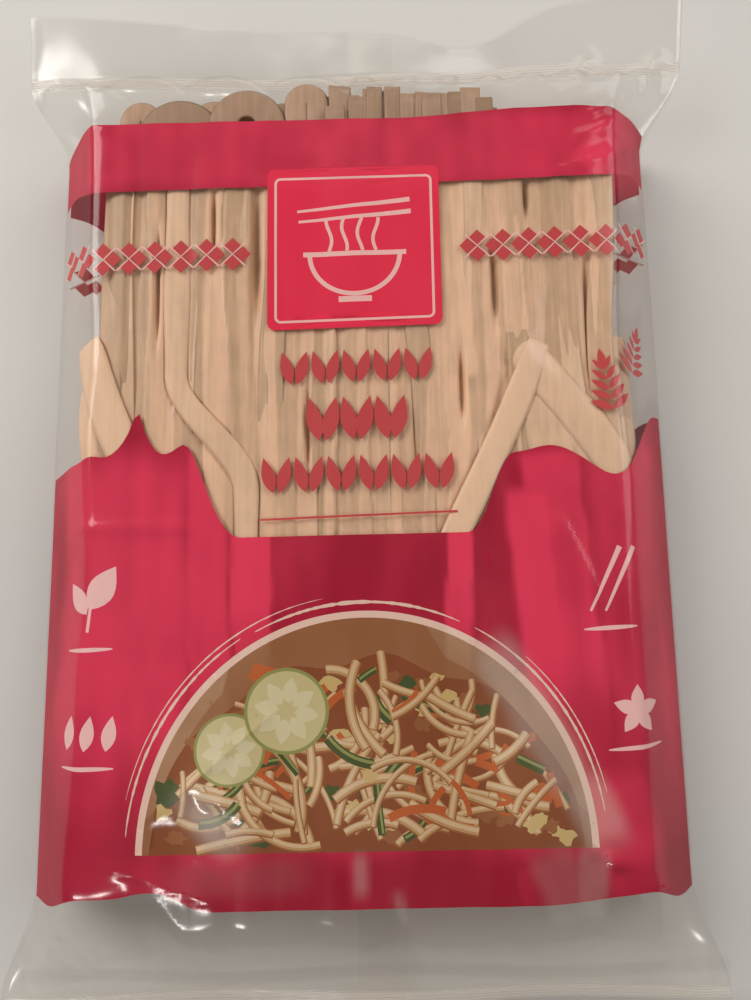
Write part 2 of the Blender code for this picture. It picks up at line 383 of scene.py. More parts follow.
def inside_of(points, loop):
    """Which points lie inside a closed outline."""
    inside = np.zeros(len(points), bool)
    ahead = np.roll(loop, -1, axis=0)
    for (x0, y0), (x1, y1) in zip(loop, ahead):
        if y0 == y1:
            continue
        crosses = (points[:, 1] < y0) != (points[:, 1] < y1)
        at = x0 + (points[:, 1] - y0) * (x1 - x0) / (y1 - y0)
        inside ^= crosses & (points[:, 0] < at)
    return inside


def clear_of(points, loop, gap):
    """Which points are further than gap from every edge of the outline."""
    clear = np.ones(len(points), bool)
    for start, end in zip(loop, np.roll(loop, -1, axis=0)):
        along = end - start
        t = np.clip((points - start) @ along / max(along @ along, 1e-18), 0.0, 1.0)
        off = points - (start + t[:, None] * along)
        clear &= (off * off).sum(1) > gap * gap
    return clear


# %% [markdown]
# ## Finishes
# Ink is never one flat colour: the cylinder lays it down a little thicker here and thinner
# there, and its colour carries painted light and shade: lighter where a pale noodle behind
# lights it through, darker where it hangs free over shade. Dried noodle is streaked along its
# length. Clear film is milky where it is fused, and painted glare makes it milky where it
# catches the lamps. Each of these is a small node group with named sockets, so that every
# material that uses it sets its own values.

# %% Shader helpers
COLOUR = "NodeSocketColor"
NUMBER = "NodeSocketFloat"


def new_group(name, inputs, outputs):
    """A shader node group with named sockets, and its input and output nodes."""
    group = bpy.data.node_groups.new(name, "ShaderNodeTree")
    for label, kind, value in inputs:
        socket = group.interface.new_socket(label, in_out="INPUT", socket_type=kind)
        socket.default_value = value
    for label, kind in outputs:
        group.interface.new_socket(label, in_out="OUTPUT", socket_type=kind)
    return group, group.nodes.new("NodeGroupInput"), group.nodes.new("NodeGroupOutput")


def stretched_noise(tree, stretch, scale, detail):
    """Noise in object space, stretched by a different factor along each axis."""
    place = tree.nodes.new("ShaderNodeTexCoord")
    mapping = tree.nodes.new("ShaderNodeMapping")
    mapping.inputs["Scale"].default_value = stretch
    noise = tree.nodes.new("ShaderNodeTexNoise")
    noise.inputs["Scale"].default_value = scale
    noise.inputs["Detail"].default_value = detail
    tree.links.new(place.outputs["Object"], mapping.inputs["Vector"])
    tree.links.new(mapping.outputs["Vector"], noise.inputs["Vector"])
    return noise.outputs["Fac"]


def feed(tree, socket, value):
    """Give an input another node's output, or a value of its own."""
    if hasattr(value, "is_linked"):
        tree.links.new(value, socket)
    else:
        socket.default_value = value


def maths(tree, operation, *values):
    """The outcome of a sum with outputs and numbers."""
    node = tree.nodes.new("ShaderNodeMath")
    node.operation = operation
    for socket, value in zip(node.inputs, values):
        feed(tree, socket, value)
    return node.outputs[0]


def attribute(tree, label):
    """A number that the mesh carries at each point."""
    node = tree.nodes.new("ShaderNodeAttribute")
    node.attribute_name = label
    return node.outputs["Fac"]


def mixed(tree, factor, first, second):
    """A colour between two, by a factor; each is an output or a colour."""
    mix = tree.nodes.new("ShaderNodeMix")
    mix.data_type = "RGBA"
    feed(tree, mix.inputs["Factor"], factor)
    feed(tree, mix.inputs["A"], first)
    feed(tree, mix.inputs["B"], second)
    return mix.outputs["Result"]


def ramp_of(tree, value, start, end):
    """The share of the way from start to end."""
    node = tree.nodes.new("ShaderNodeMapRange")
    node.interpolation_type = "SMOOTHSTEP"
    node.inputs["From Min"].default_value = start
    node.inputs["From Max"].default_value = end
    tree.links.new(value, node.inputs["Value"])
    return node.outputs["Result"]


# %% Shader groups
COLOUR_AND_GRAIN = (("Color", COLOUR), ("Grain", NUMBER))
STREAK_SHARE = 0.52
PATCH_SHARE = 0.48
TONE_SHARE = 0.58


def make_ink_group():
    """Ink on film with painted light and shade: darker where it hangs free over shade, lighter where a pale
    noodle pressed behind it lights it through.
    """
    tones = (("Loose", COLOUR, (0.5, 0.0, 0.1, 1.0)), ("Lit Through", COLOUR, (0.6, 0.1, 0.2, 1.0)))
    group, source, sink = new_group("InkLaydownAndLight", tones, COLOUR_AND_GRAIN)
    cloud = stretched_noise(group, (1.0, 0.45, 1.0), 60.0, 3.0)
    laydown_and_light = maths(group, "MULTIPLY_ADD", cloud, 0.60, attribute(group, "ink_light"))
    pressed = ramp_of(group, laydown_and_light, 0.25, 1.25)
    colour = mixed(group, pressed, source.outputs["Loose"], source.outputs["Lit Through"])
    feed(group, sink.inputs["Color"], colour)
    feed(group, sink.inputs["Grain"], stretched_noise(group, (1.0, 1.0, 1.0), 1400.0, 2.0))
    return group


def make_noodle_group():
    """Dried noodle: long pale streaks, cloudy patches from ribbon to ribbon, and a fine grain."""
    tones = (("Pale", COLOUR, (0.8, 0.6, 0.4, 1.0)), ("Deep", COLOUR, (0.6, 0.4, 0.2, 1.0)))
    group, source, sink = new_group("NoodleStreak", tones, COLOUR_AND_GRAIN)
    streak = stretched_noise(group, (1.0, 0.035, 1.0), 1150.0, 3.0)
    patch = stretched_noise(group, (1.0, 0.40, 1.0), 420.0, 6.0)
    patches = maths(group, "MULTIPLY", patch, PATCH_SHARE)
    mottled = maths(group, "MULTIPLY_ADD", streak, STREAK_SHARE, patches)
    toned = maths(group, "MULTIPLY_ADD", attribute(group, "tone"), TONE_SHARE, mottled)
    pale = ramp_of(group, toned, 0.28, 1.26)
    colour = mixed(group, pale, source.outputs["Deep"], source.outputs["Pale"])
    feed(group, sink.inputs["Color"], colour)
    feed(group, sink.inputs["Grain"], streak)
    return group


def make_haze_group():
    """Milkiness of film: a thin cloud, painted glare where the mesh carries it, and more where the ends are
    fused.
    """
    amounts = (("Cloud", NUMBER, 0.05), ("Fused", NUMBER, 0.3))
    group, source, sink = new_group("FilmHazeAndGlare", amounts, (("Haze", NUMBER),))
    cloud = ramp_of(group, stretched_noise(group, (1.0, 0.45, 1.0), 34.0, 3.0), 0.35, 0.75)
    thin = maths(group, "MULTIPLY", cloud, source.outputs["Cloud"])
    cloud_and_glare = maths(group, "ADD", thin, attribute(group, "milk_and_glare"))
    place = group.nodes.new("ShaderNodeTexCoord")
    split = group.nodes.new("ShaderNodeSeparateXYZ")
    group.links.new(place.outputs["Object"], split.inputs[0])
    from_middle = maths(group, "ABSOLUTE", split.outputs["Y"])
    in_seal = maths(group, "COMPARE", from_middle, SEAL_Y, SEAL_HALF)
    haze = maths(group, "MULTIPLY_ADD", in_seal, source.outputs["Fused"], cloud_and_glare)
    feed(group, sink.inputs["Haze"], haze)
    return group


INK_GROUP = make_ink_group()
NOODLE_GROUP = make_noodle_group()
HAZE_AND_GLARE_GROUP = make_haze_group()
print("shader groups:", [group.name for group in bpy.data.node_groups])


# %% Materials
GRAIN_DEPTH = 0.0001
MOST_MIRRORED = 0.09


def blank_material(name):
    """A new material and its node tree."""
    material = bpy.data.materials.new(name)
    material.use_nodes = True
    return material, material.node_tree


def grouped(tree, group, values):
    """A node that uses a group with values of its own."""
    node = tree.nodes.new("ShaderNodeGroup")
    node.node_tree = group
    for label, value in values.items():
        node.inputs[label].default_value = value
    return node


def two_tone(name, group, tones, roughness, bump):
    """A Principled material whose colour and grain come from one of the groups."""
    material, tree = blank_material(name)
    shader = tree.nodes["Principled BSDF"]
    node = grouped(tree, group, {label: (*colour, 1.0) for label, colour in tones.items()})
    tree.links.new(node.outputs["Color"], shader.inputs["Base Color"])
    shader.inputs["Roughness"].default_value = roughness
    raised = tree.nodes.new("ShaderNodeBump")
    raised.inputs["Strength"].default_value = bump
    raised.inputs["Distance"].default_value = GRAIN_DEPTH
    tree.links.new(node.outputs["Grain"], raised.inputs["Height"])
    tree.links.new(raised.outputs["Normal"], shader.inputs["Normal"])
    return material


def ink(name, loose, pressed):
    """Printed ink in two tones of painted light: a shaded tone where it hangs free, and a lit tone where a
    noodle presses against it.
    """
    material = two_tone(name, INK_GROUP, {"Loose": loose, "Lit Through": pressed}, 0.60, 0.04)
    material.node_tree.nodes["Principled BSDF"].inputs["Specular IOR Level"].default_value = 0.12
    return material


def noodle(name, pale, deep):
    """Dried rice noodle."""
    material = two_tone(name, NOODLE_GROUP, {"Pale": pale, "Deep": deep}, 0.50, 0.28)
    shader = material.node_tree.nodes["Principled BSDF"]
    shader.inputs["Subsurface Weight"].default_value = 0.15
    shader.inputs["Subsurface Radius"].default_value = (0.0016, 0.0012, 0.0008)
    shader.inputs["Subsurface Scale"].default_value = 1.0
    return material


def clear_film(name, cloud, fused):
    """Thin clear film: most light goes straight through, some is mirrored, a little is scattered."""
    material, tree = blank_material(name)
    tree.nodes.remove(tree.nodes["Principled BSDF"])
    haze = grouped(tree, HAZE_AND_GLARE_GROUP, {"Cloud": cloud, "Fused": fused})
    through = tree.nodes.new("ShaderNodeBsdfTransparent")
    through.inputs["Color"].default_value = (0.985, 0.980, 0.970, 1.0)
    milk_and_glare = tree.nodes.new("ShaderNodeBsdfDiffuse")
    milk_and_glare.inputs["Color"].default_value = (0.90, 0.82, 0.74, 1.0)
    body = tree.nodes.new("ShaderNodeMixShader")
    tree.links.new(haze.outputs["Haze"], body.inputs["Fac"])
    tree.links.new(through.outputs[0], body.inputs[1])
    tree.links.new(milk_and_glare.outputs[0], body.inputs[2])
    mirror = tree.nodes.new("ShaderNodeBsdfGlossy")
    mirror.inputs["Roughness"].default_value = 0.15
    fresnel = tree.nodes.new("ShaderNodeFresnel")
    fresnel.inputs["IOR"].default_value = 1.45
    mirrored = maths(tree, "MINIMUM", fresnel.outputs[0], MOST_MIRRORED)
    skin = tree.nodes.new("ShaderNodeMixShader")
    tree.links.new(mirrored, skin.inputs["Fac"])
    tree.links.new(body.outputs[0], skin.inputs[1])
    tree.links.new(mirror.outputs[0], skin.inputs[2])
    tree.links.new(skin.outputs[0], tree.nodes["Material Output"].inputs["Surface"])
    return material


# Each ink has a tone in painted shade, where it hangs free, and a tone in painted light, where a noodle
# behind lights it through.
PINK = ink("pink_ink", (0.37, 0.003, 0.026), (0.88, 0.048, 0.118))
CRIMSON = ink("crimson_ink", (0.85, 0.026, 0.074), (0.94, 0.044, 0.104))
ROSE = ink("rose_ink", (0.60, 0.066, 0.074), (0.69, 0.108, 0.102))
BLUSH = ink("blush_ink", (0.94, 0.53, 0.50), (0.98, 0.60, 0.58))
CREAM = ink("cream_ink", (0.86, 0.58, 0.47), (0.92, 0.66, 0.56))
NOODLE = noodle("dried_noodle", (0.98, 0.625, 0.415), (0.54, 0.340, 0.205))
# A darker copy of the noodle material: painted shade on the turns and cut ends at the top, under the flap.
NOODLE_ENDS_SHADED = noodle("noodle_ends_shaded", (0.66, 0.420, 0.290), (0.38, 0.235, 0.145))
FILM = clear_film("clear_film", 0.010, 0.30)
print("materials:", [material.name for material in bpy.data.materials])

# %% [markdown]
# ## Film
# The front and back of the tube are two height fields over the same plan, and they meet along
# the side creases. Rows are close together in the seals, where the ribs are fine. Where the
# film catches the lamps, painted glare makes it milky: each point of the mesh carries how much
# painted glare it has there, so that one clear film does for the whole tube.

# %% Make the tube
FILM_COLUMNS = 150
# Strips of painted glare: where the film catches the lamps, it is painted milky.
GLARE_STRIPS = (
    ((0.0370, -0.0705), (0.0425, -0.0835), 0.0048, 0.0014, 0.07),
    ((0.0465, -0.0695), (0.0440, -0.0830), 0.0028, 0.0010, 0.12),
    ((-0.0008, -0.0705), (-0.0008, -0.0780), 0.0013, 0.0010, 0.15),
    ((0.0070, -0.0778), (0.0080, -0.0835), 0.0010, 0.0009, 0.12),
    ((-0.0380, -0.0752), (-0.0110, -0.0738), 0.0032, 0.0022, 0.04),
    ((-0.0350, -0.0590), (-0.0255, -0.0685), 0.0034, 0.0024, 0.32),
    ((0.0268, -0.0300), (0.0430, -0.0585), 0.0044, 0.0020, 0.20),
    ((0.0430, -0.0560), (0.0490, -0.0690), 0.0042, 0.0020, 0.22),
)


def film_rows():
    """Rows along the tube: about a millimetre apart, and finer in the pressed seals."""
    body = np.linspace(-SEAL_Y + SEAL_HALF, SEAL_Y - SEAL_HALF, 200)
    seal = np.linspace(SEAL_Y - SEAL_HALF, SEAL_Y + SEAL_HALF, 17)[1:]
    flap = np.linspace(SEAL_Y + SEAL_HALF, FLAP_END, 15)[1:]
    upper = np.concatenate([seal, flap])
    return np.concatenate([-upper[::-1], body, upper])


def curled(s, y):
    """How far the flap's edge draws in where it curls: s runs from -1 to 1 across the pack."""
    top = 0.40 * np.exp(-(((s - 0.36) / 0.20) ** 2)) + 0.16 * np.exp(-(((s + 0.05) / 0.5) ** 2)) - 0.02
    foot = 0.10 + 0.06 * np.sin(5.0 * s)
    beyond = np.clip((np.abs(y) - SEAL_Y - SEAL_HALF) / (FLAP_END - SEAL_Y - SEAL_HALF), 0.0, 1.0)
    return y - np.sign(y) * (FLAP_END - SEAL_Y) * np.maximum(np.where(y > 0.0, top, foot), 0.0) * beyond


def make_film():
    """The tube: its front, its back and the strips of painted glare."""
    ys = film_rows()
    shares = np.sin(np.linspace(-1.0, 1.0, FILM_COLUMNS + 1) * 0.5 * math.pi)
    shares = 0.35 * shares + 0.65 * np.linspace(-1.0, 1.0, FILM_COLUMNS + 1)
    share, y = np.meshgrid(shares, ys)
    x = share * half_width(y)
    drawn = curled(share, y)
    front = np.stack([x, drawn, film_front(x, y)], -1)
    back = np.stack([x, drawn, film_back(x, y)], -1)
    back[:, 0] = front[:, 0]
    back[:, -1] = front[:, -1]
    rows, columns = share.shape
    points = np.concatenate([front.reshape(-1, 3), back.reshape(-1, 3)])
    under = [face[::-1] for face in grid_faces(rows, columns, rows * columns)]
    faces = grid_faces(rows, columns) + under
    painted_glare = np.zeros_like(x)
    for start, end, half, soft, share in GLARE_STRIPS:
        painted_glare = np.maximum(painted_glare, share * strip(x, y, start, end, half, soft, 4.0 * soft))
    piece = new_piece("film_tube", points, faces, FILM)
    mark(piece, "milk_and_glare", np.concatenate([painted_glare.ravel(), np.zeros(painted_glare.size)]))


make_film()

# %% [markdown]
# ## Lap seam
# The tube was a flat sheet first. Its two long edges were laid over each other and fused down
# the middle of the back. There the film is double, so it's milkier, and its free edge shows as
# a line. A texture could stand for it; a real strip catches the light at its edges.

# %% Double strip down the back
LAP_X = 0.004
LAP_HALF = 0.0055
LAP_LIFT = 0.00006
LAP_EDGE = 0.00010
LAP_FILM = clear_film("lap_film", 0.16, 0.30)


def make_lap_seam():
    """The double strip, a little above the back film and highest at its edges."""
    ys = np.linspace(-FLAP_END + 0.002, FLAP_END - 0.002, 220)
    share, y = np.meshgrid(np.linspace(-1.0, 1.0, 9), ys)
    x = LAP_X + LAP_HALF * share + 0.0004 * np.sin(y / 0.031)
    level = film_back(x, y) + LAP_LIFT + LAP_EDGE * share**8
    points = np.stack([x, curled(x / half_width(y), y), level], -1).reshape(-1, 3)
    new_piece("lap_seam", points, grid_faces(*share.shape), LAP_FILM)


make_lap_seam()

# %% [markdown]
# ## Noodles
# A flat noodle is a ribbon about 5 mm wide and, once dry, well under 1 mm thick. Freshly
# steamed sheets are cut, hung and folded, so they dry in long runs with hairpin turns. Curves
# with a bevel could make them, but each ribbon also twists as it runs, so a ring of eight points
# is swept along its path and turned as it goes. Only what can be seen is made: the runs at the
# faces, the layers at the sides and ends, and the turns.

# %% Ribbon maker
THICK = 0.00026
UNDER_FILM = 0.0003
INK_DEPTH = 0.00016
FULL_TURN = 6.3
RING_ACROSS = np.array([-0.5, -0.42, 0.0, 0.42, 0.5, 0.42, 0.0, -0.42])
RING_UP = np.array([0.0, 0.5, 0.5, 0.5, 0.0, -0.5, -0.5, -0.5])


def swing(rng, y, length):
    """A wave along y that starts at a random place."""
    return np.sin(y / length + rng.uniform(0.0, FULL_TURN))


def ribbon(path, lean, width, cup=0.0):
    """Points of a ribbon swept along a path; lean turns it about the path, cup bends it hollow."""
    path = np.asarray(path, float)
    ahead = np.gradient(path, axis=0)
    ahead /= np.linalg.norm(ahead, axis=1)[:, None]
    side = np.cross(ahead, (0.0, 0.0, 1.0))
    side /= np.maximum(np.linalg.norm(side, axis=1)[:, None], 1e-9)
    up = np.cross(side, ahead)
    lean = np.broadcast_to(lean, len(path))[:, None]
    across = side * np.cos(lean) + up * np.sin(lean)
    normal = up * np.cos(lean) - side * np.sin(lean)
    width = np.broadcast_to(width, len(path))[:, None, None]
    ring = RING_ACROSS[None, :, None] * width * across[:, None, :]
    lift = RING_UP * THICK + cup * (4.0 * RING_ACROSS**2 - 0.5)
    return path[:, None, :] + ring + lift[None, :, None] * normal[:, None, :]


def ribbons_piece(name, ribbons, material, seed, pale=(), palest=1.0):
    """One mesh of many closed ribbons, each with a tone of its own; pale gives the last tones."""
    rng = np.random.default_rng(seed)
    points = []
    faces = []
    tones = []
    shades = list(rng.uniform(palest - 1.0, palest, len(ribbons) - len(pale))) + list(pale)
    for made, shade in zip(ribbons, shades):
        count, around = made.shape[:2]
        start = len(points)
        points.extend(made.reshape(-1, 3))
        tones.extend([shade] * (around * count))
        faces.extend(grid_faces(count, around, start, wrap=True))
        faces.append(tuple(start + i for i in range(around - 1, -1, -1)))
        faces.append(tuple(start + around * (count - 1) + i for i in range(around)))
    piece = new_piece(name, points, faces, material)
    mark(piece, "tone", tones)


# %% [markdown]
# ## Runs on the upper face
# Most runs dried pressed into one face, and a few lie or twist loose on it. One could bend a
# hundred ribbons until none crosses another; here the pressed ones are the upper side of a
# closed middle, made further on, and only the loose ones are ribbons. Both part at the same
# gaps and end on the same line at the foot.

# %% Loose runs
STATION = 0.0026
GAP_REACH = 0.0040
GAPS = (
    (-0.0216, 0.0560, 0.0180, 0.0017),
    (-0.0310, 0.0620, 0.0090, 0.0010),
    (-0.0430, 0.0480, 0.0140, 0.0009),
    (-0.0490, 0.0120, 0.0050, 0.0010),
    (-0.0105, 0.0160, 0.0110, 0.0010),
    (0.0125, 0.0200, 0.0160, 0.0009),
    (0.0380, 0.0680, 0.0055, 0.0011),
    (0.0303, 0.0480, 0.0110, 0.0013),
    (0.0225, 0.0250, 0.0090, 0.0011),
    (0.0505, 0.0400, 0.0180, 0.0014),
)


def brick_foot(x):
    """Where the noodles end at the foot: a little inside the edge of the print."""
    return -0.0798 + 0.0042 * ease((-x - 0.032) / 0.008) + 0.0030 * ease((x - 0.026) / 0.010)


def parted(x, y):
    """Move ribbons aside where the brick has a gap."""
    for gap_x, gap_y, reach, half in GAPS:
        near = np.exp(-(((x - gap_x) / GAP_REACH) ** 2)) * ease(1.3 - np.abs(y - gap_y) / reach)
        x = x + np.where(x < gap_x, -half, half) * near
    return x


def long_run(rng, x, depth, lively):
    """A ribbon along the brick, some way below the front film."""
    y = np.arange(brick_foot(x) + rng.uniform(0.0, 0.003), rng.uniform(0.078, 0.085), STATION)
    slant = rng.normal(0.0, 0.012) * y
    sway = 0.0006 * swing(rng, y, rng.uniform(0.015, 0.04))
    sway = sway + lively * 0.0016 * swing(rng, y, 0.05)
    edge = block_edge(np.full_like(y, x), y) - 0.0021
    xs = np.clip(parted(x + slant + sway, y), -edge, edge)
    lean = rng.normal(0.0, 0.05) + lively * 0.8 * swing(rng, y, rng.uniform(0.022, 0.05)) ** 3
    width = RIBBON * rng.uniform(0.80, 1.16)
    drop = depth + 0.5 * width * np.abs(np.sin(lean)) + 0.0002 * swing(rng, y, 0.014)
    z = front_form(xs, y) - FILM_HALF - UNDER_FILM - np.maximum(drop, 0.0)
    return ribbon(np.stack([xs, y, z], 1), lean, width, cup=rng.normal(0.0, 0.00008))


def upper_runs():
    """Loose runs that lie or twist on the others."""
    rng = np.random.default_rng(31)
    made = []
    for x in np.arange(-BLOCK_HALF + 0.0024, BLOCK_HALF - 0.0020, 0.0098):
        lively = rng.choice((0.2, 0.6, 1.0))
        made.append(long_run(rng, x + rng.normal(0.0, 0.0020), rng.uniform(0.0002, 0.0005), lively))
    return made


# %% [markdown]
# ## Ribbons that lie across
# A few wide pale ribbons dried across the others, some hang out at the sides, and one long run
# changes its place half way down. The film holds them flat, so a twisting ribbon would poke
# through it: their edges are laid along the film itself, and the runs below make room.

# %% Ribbons that the film holds flat
STRAY_RIBBONS = (
    ((-0.0585, 0.0360), (-0.0455, 0.0040), 0.0078, 0.0000, 1.10),
    ((-0.0575, 0.0260), (-0.0545, -0.0050), 0.0052, 0.0008, 1.0),
    ((0.0400, 0.0250), (0.0420, -0.0060), 0.0100, 0.0004, 0.7),
    ((0.0350, 0.0330), (0.0560, 0.0040), 0.0085, 0.0002, 0.9),
    ((0.0385, 0.0340), (0.0180, -0.0130), 0.0060, 0.0000, 1.15),
    ((0.0560, 0.0360), (0.0600, 0.0090), 0.0046, 0.0016, 0.3),
    ((0.0572, 0.0280), (0.0625, -0.0030), 0.0044, 0.0030, 0.2),
    ((0.0600, 0.0340), (0.0580, 0.0050), 0.0040, 0.0040, 0.1),
    ((0.0590, 0.0180), (0.0560, -0.0120), 0.0046, 0.0010, 0.6),
)
STRAY_THICK = 0.0003
FILM_GAP = 0.00008
SHIFT_FOOT = -0.0130
SHIFT_WIDTH = 0.0052
SHIFT_TONE = 0.80


def shift_share(y):
    """How far the run that changes its place has come: 0 at the top, 1 at the foot."""
    return ease(0.5 + (0.0155 - y) / 0.0250)


def shifted_x(y):
    """Where that run is: on the left at the top, further in at the foot."""
    return -0.0387 + 0.0152 * shift_share(y)


def pressed_flat(x, y, width, depth):
    """A ribbon that the film holds down: it follows the film from edge to edge."""
    ahead = np.stack([np.gradient(x), np.gradient(y)], 1)
    ahead /= np.linalg.norm(ahead, axis=1)[:, None]
    across = np.linspace(-0.5, 0.5, 9)[None, :]
    reach = across * np.broadcast_to(width, len(x))[:, None]
    flat_x = x[:, None] + ahead[:, 1:] * reach
    flat_y = y[:, None] - ahead[:, :1] * reach
    fall = np.broadcast_to(depth, len(x))[:, None] + 0.00020 * np.abs(2.0 * across) ** 4
    top = film_front(flat_x, flat_y) - INK_DEPTH - FILM_GAP - fall
    upper = np.stack([flat_x, flat_y, top], -1)
    lower = np.stack([flat_x, flat_y, top - STRAY_THICK], -1)
    return np.concatenate([upper, lower[:, ::-1]], 1)


def stray_ribbons():
    """The ribbons that lie across or hang out at the sides, and the run that changes its place."""
    made = []
    for i, (start, end, width, depth, _) in enumerate(STRAY_RIBBONS):
        t = np.linspace(0.0, 1.0, 44)
        x = start[0] + (end[0] - start[0]) * t - 0.0012 * np.sin(3.0 * t + i)
        y = start[1] + (end[1] - start[1]) * t
        ends = np.abs(2.0 * t - 1.0)
        made.append(pressed_flat(x, y, width * (1.0 - 0.22 * ends**6), depth + 0.0006 * ends**8))
    y = np.linspace(0.0780, SHIFT_FOOT, 90)
    on_others = 4.0 * shift_share(y) * (1.0 - shift_share(y))
    width = SHIFT_WIDTH + 0.0004 * np.sin(y / 0.006)
    made.append(pressed_flat(shifted_x(y), y, width, 0.0005 - 0.0004 * on_others))
    return made


# %% [markdown]
# ## Upper end of the brick
# At the top the runs on the left turn back in hairpins, which show as rounded humps over the
# band, and those on the right were cut and stand out like the teeth of a comb. Each hump is a
# wide ribbon bent in a half circle with a deeper one below it, so it looks filled, as a stack
# of turns does.

# %% Turns and cut ends at the top
HUMPS = (
    (-0.0492, 0.0048, 0.0952, 0.0172, 0.0),
    (-0.0400, 0.0098, 0.0950, 0.0182, 0.0),
    (-0.0322, 0.0060, 0.0948, 0.0176, 0.0),
    (-0.0246, 0.0088, 0.0971, 0.0184, 0.24),
    (-0.0165, 0.0046, 0.0944, 0.0174, 0.0),
    (-0.0108, 0.0051, 0.0987, 0.0180, 0.0),
)
HUMP_LEGS = 0.0720
HUMP_DROP = 0.0022
UNDER_FRONT = 0.0016


def hairpin(centre_x, half, top, level, lean, width):
    """A ribbon that turns back on itself in a half circle, with its two legs."""
    turn = np.linspace(math.pi, 0.0, 24)
    arch = np.stack([centre_x + half * np.cos(turn), top - half + half * np.sin(turn)], 1)
    down = np.linspace(HUMP_LEGS, top - half, 7)[:-1]
    left = np.stack([np.full(6, centre_x - half), down], 1)
    right = np.stack([np.full(6, centre_x + half), down[::-1]], 1)
    flat = np.concatenate([left, arch, right])
    z = np.minimum(level, front_form(flat[:, 0], flat[:, 1]) - UNDER_FRONT)
    return ribbon(np.column_stack([flat, z]), lean, width)


def loops_at_top():
    """Turns at the upper end: wide ribbons folded back flat, each over a deeper one."""
    rng = np.random.default_rng(57)
    made = []
    for centre, reach, top, level, hole in HUMPS:
        width = reach * (1.0 - hole)
        half = 0.5 * (reach + hole * reach)
        made.append(hairpin(centre, half, top - 0.5 * width, level, rng.normal(0.0, 0.03), width))
        deeper = level - HUMP_DROP - rng.uniform(0.0, 0.0010)
        shift = rng.normal(0.0, 0.10) * reach
        made.append(hairpin(centre + shift, 0.5 * reach, top - 0.5 * reach - 0.0004, deeper, 0.0, reach))
    return made


SQUARE_ENDS = (
    (-0.0030, 0.0984, 0.0050),
    (0.0048, 0.0979, 0.0036),
    (0.0090, 0.0976, 0.0038),
    (0.0010, 0.0948, 0.0046),
    (0.0130, 0.0954, 0.0046),
    (0.0165, 0.0956, 0.0048),
    (0.0205, 0.0954, 0.0048),
    (0.0240, 0.0957, 0.0046),
    (0.0270, 0.0967, 0.0046),
    (0.0302, 0.0942, 0.0040),
)
SQUARE_LEVEL = 0.0188
LAYER = 0.0011


def square_ends():
    """Cut ribbon ends that stand out over the band."""
    rng = np.random.default_rng(58)
    made = []
    for layer in range(4):
        for x, top, width in SQUARE_ENDS:
            y = np.linspace(0.0760, top - layer * rng.uniform(0.0001, 0.0012), 9)
            xs = np.full(9, x + layer * rng.normal(0.0, 0.0007)) + rng.normal(0.0, 0.015) * (y - 0.09)
            z = np.minimum(SQUARE_LEVEL, front_form(xs, y) - UNDER_FRONT) - LAYER * layer
            made.append(ribbon(np.stack([xs, y, z], 1), rng.normal(0.0, 0.10), width))
    return made


# %% [markdown]
# ## Sides, ends and underside
# Through the clear film at the sides and ends the brick shows as many thin layers. They could
# be a striped texture, but their edges catch the light one by one, so they are real ribbons:
# long ones stacked down both sides, short ones at both ends, and runs on the underside.

# %% Layers round the brick
RUN_PITCH = 0.0036
END_LENGTH = 0.013
LOOPS_END = -0.0050
SQUARE_END = 0.0260


def stacked_sides():
    """Layers whose edges show at the two long sides of the brick."""
    rng = np.random.default_rng(83)
    made = []
    for level in np.arange(0.0030, 0.0205, 0.00105):
        for side in (-1.0, 1.0):
            foot = brick_foot(side * BLOCK_HALF) + rng.uniform(0.0, 0.003)
            y = np.arange(foot, BLOCK_TOP - rng.uniform(0.008, 0.014), 0.0035)
            edge = block_edge(np.full_like(y, side), y)
            x = side * (edge - RIBBON * 0.5 - rng.uniform(0.0, 0.0012))
            x = x + side * 0.0004 * swing(rng, y, 0.012)
            z = level + 0.0003 * swing(rng, y, 0.021)
            made.append(ribbon(np.stack([x, y, z], 1), rng.normal(0.0, 0.06), RIBBON))
    return made


def foot_span(rng, x):
    """Where a short length starts and ends at the foot of the brick."""
    foot = max(float(block_end_foot(np.array(x))), float(brick_foot(x)))
    return foot + rng.uniform(0.0, 0.0014), foot + END_LENGTH


def top_span(rng, _):
    """Where a short length starts and ends at the top of the brick, the same at every x."""
    return BLOCK_TOP - END_LENGTH, BLOCK_TOP - rng.uniform(0.0004, 0.0040)


def cut_ends(seed, left, right, span):
    """Short lengths that show the layers at one end of the brick."""
    rng = np.random.default_rng(seed)
    made = []
    for level in np.arange(0.0032, 0.0190, 0.0013):
        for x in np.arange(left, right, RIBBON):
            x = x + rng.normal(0.0, 0.0010)
            y = np.linspace(*span(rng, x), 5)
            z = np.full(5, level + rng.normal(0.0, 0.0003))
            made.append(ribbon(np.stack([np.full(5, x), y, z], 1), rng.normal(0.0, 0.10), RIBBON * 0.96))
    return made


def under_runs():
    """Runs on the underside, where the brick lies on the back film."""
    rng = np.random.default_rng(85)
    made = []
    for layer in range(2):
        for x in np.arange(-BLOCK_HALF + 0.0030 + 0.0018 * layer, BLOCK_HALF - 0.0025, RUN_PITCH):
            foot = brick_foot(x) + rng.uniform(0.0, 0.002)
            y = np.arange(foot, BLOCK_TOP - rng.uniform(0.010, 0.018), 0.0032)
            xs = x + rng.normal(0.0, 0.014) * y + 0.0006 * swing(rng, y, 0.03)
            xs = np.clip(xs, -BLOCK_HALF + 0.0028, BLOCK_HALF - 0.0028)
            z = 0.0013 + 0.0008 * layer + rng.uniform(0.0, 0.0004) + 0.0001 * np.sin(y / 0.014)
            lean = rng.normal(0.0, 0.05)
            made.append(ribbon(np.stack([xs, y, z], 1), lean, RIBBON * rng.uniform(0.85, 1.1)))
    return made


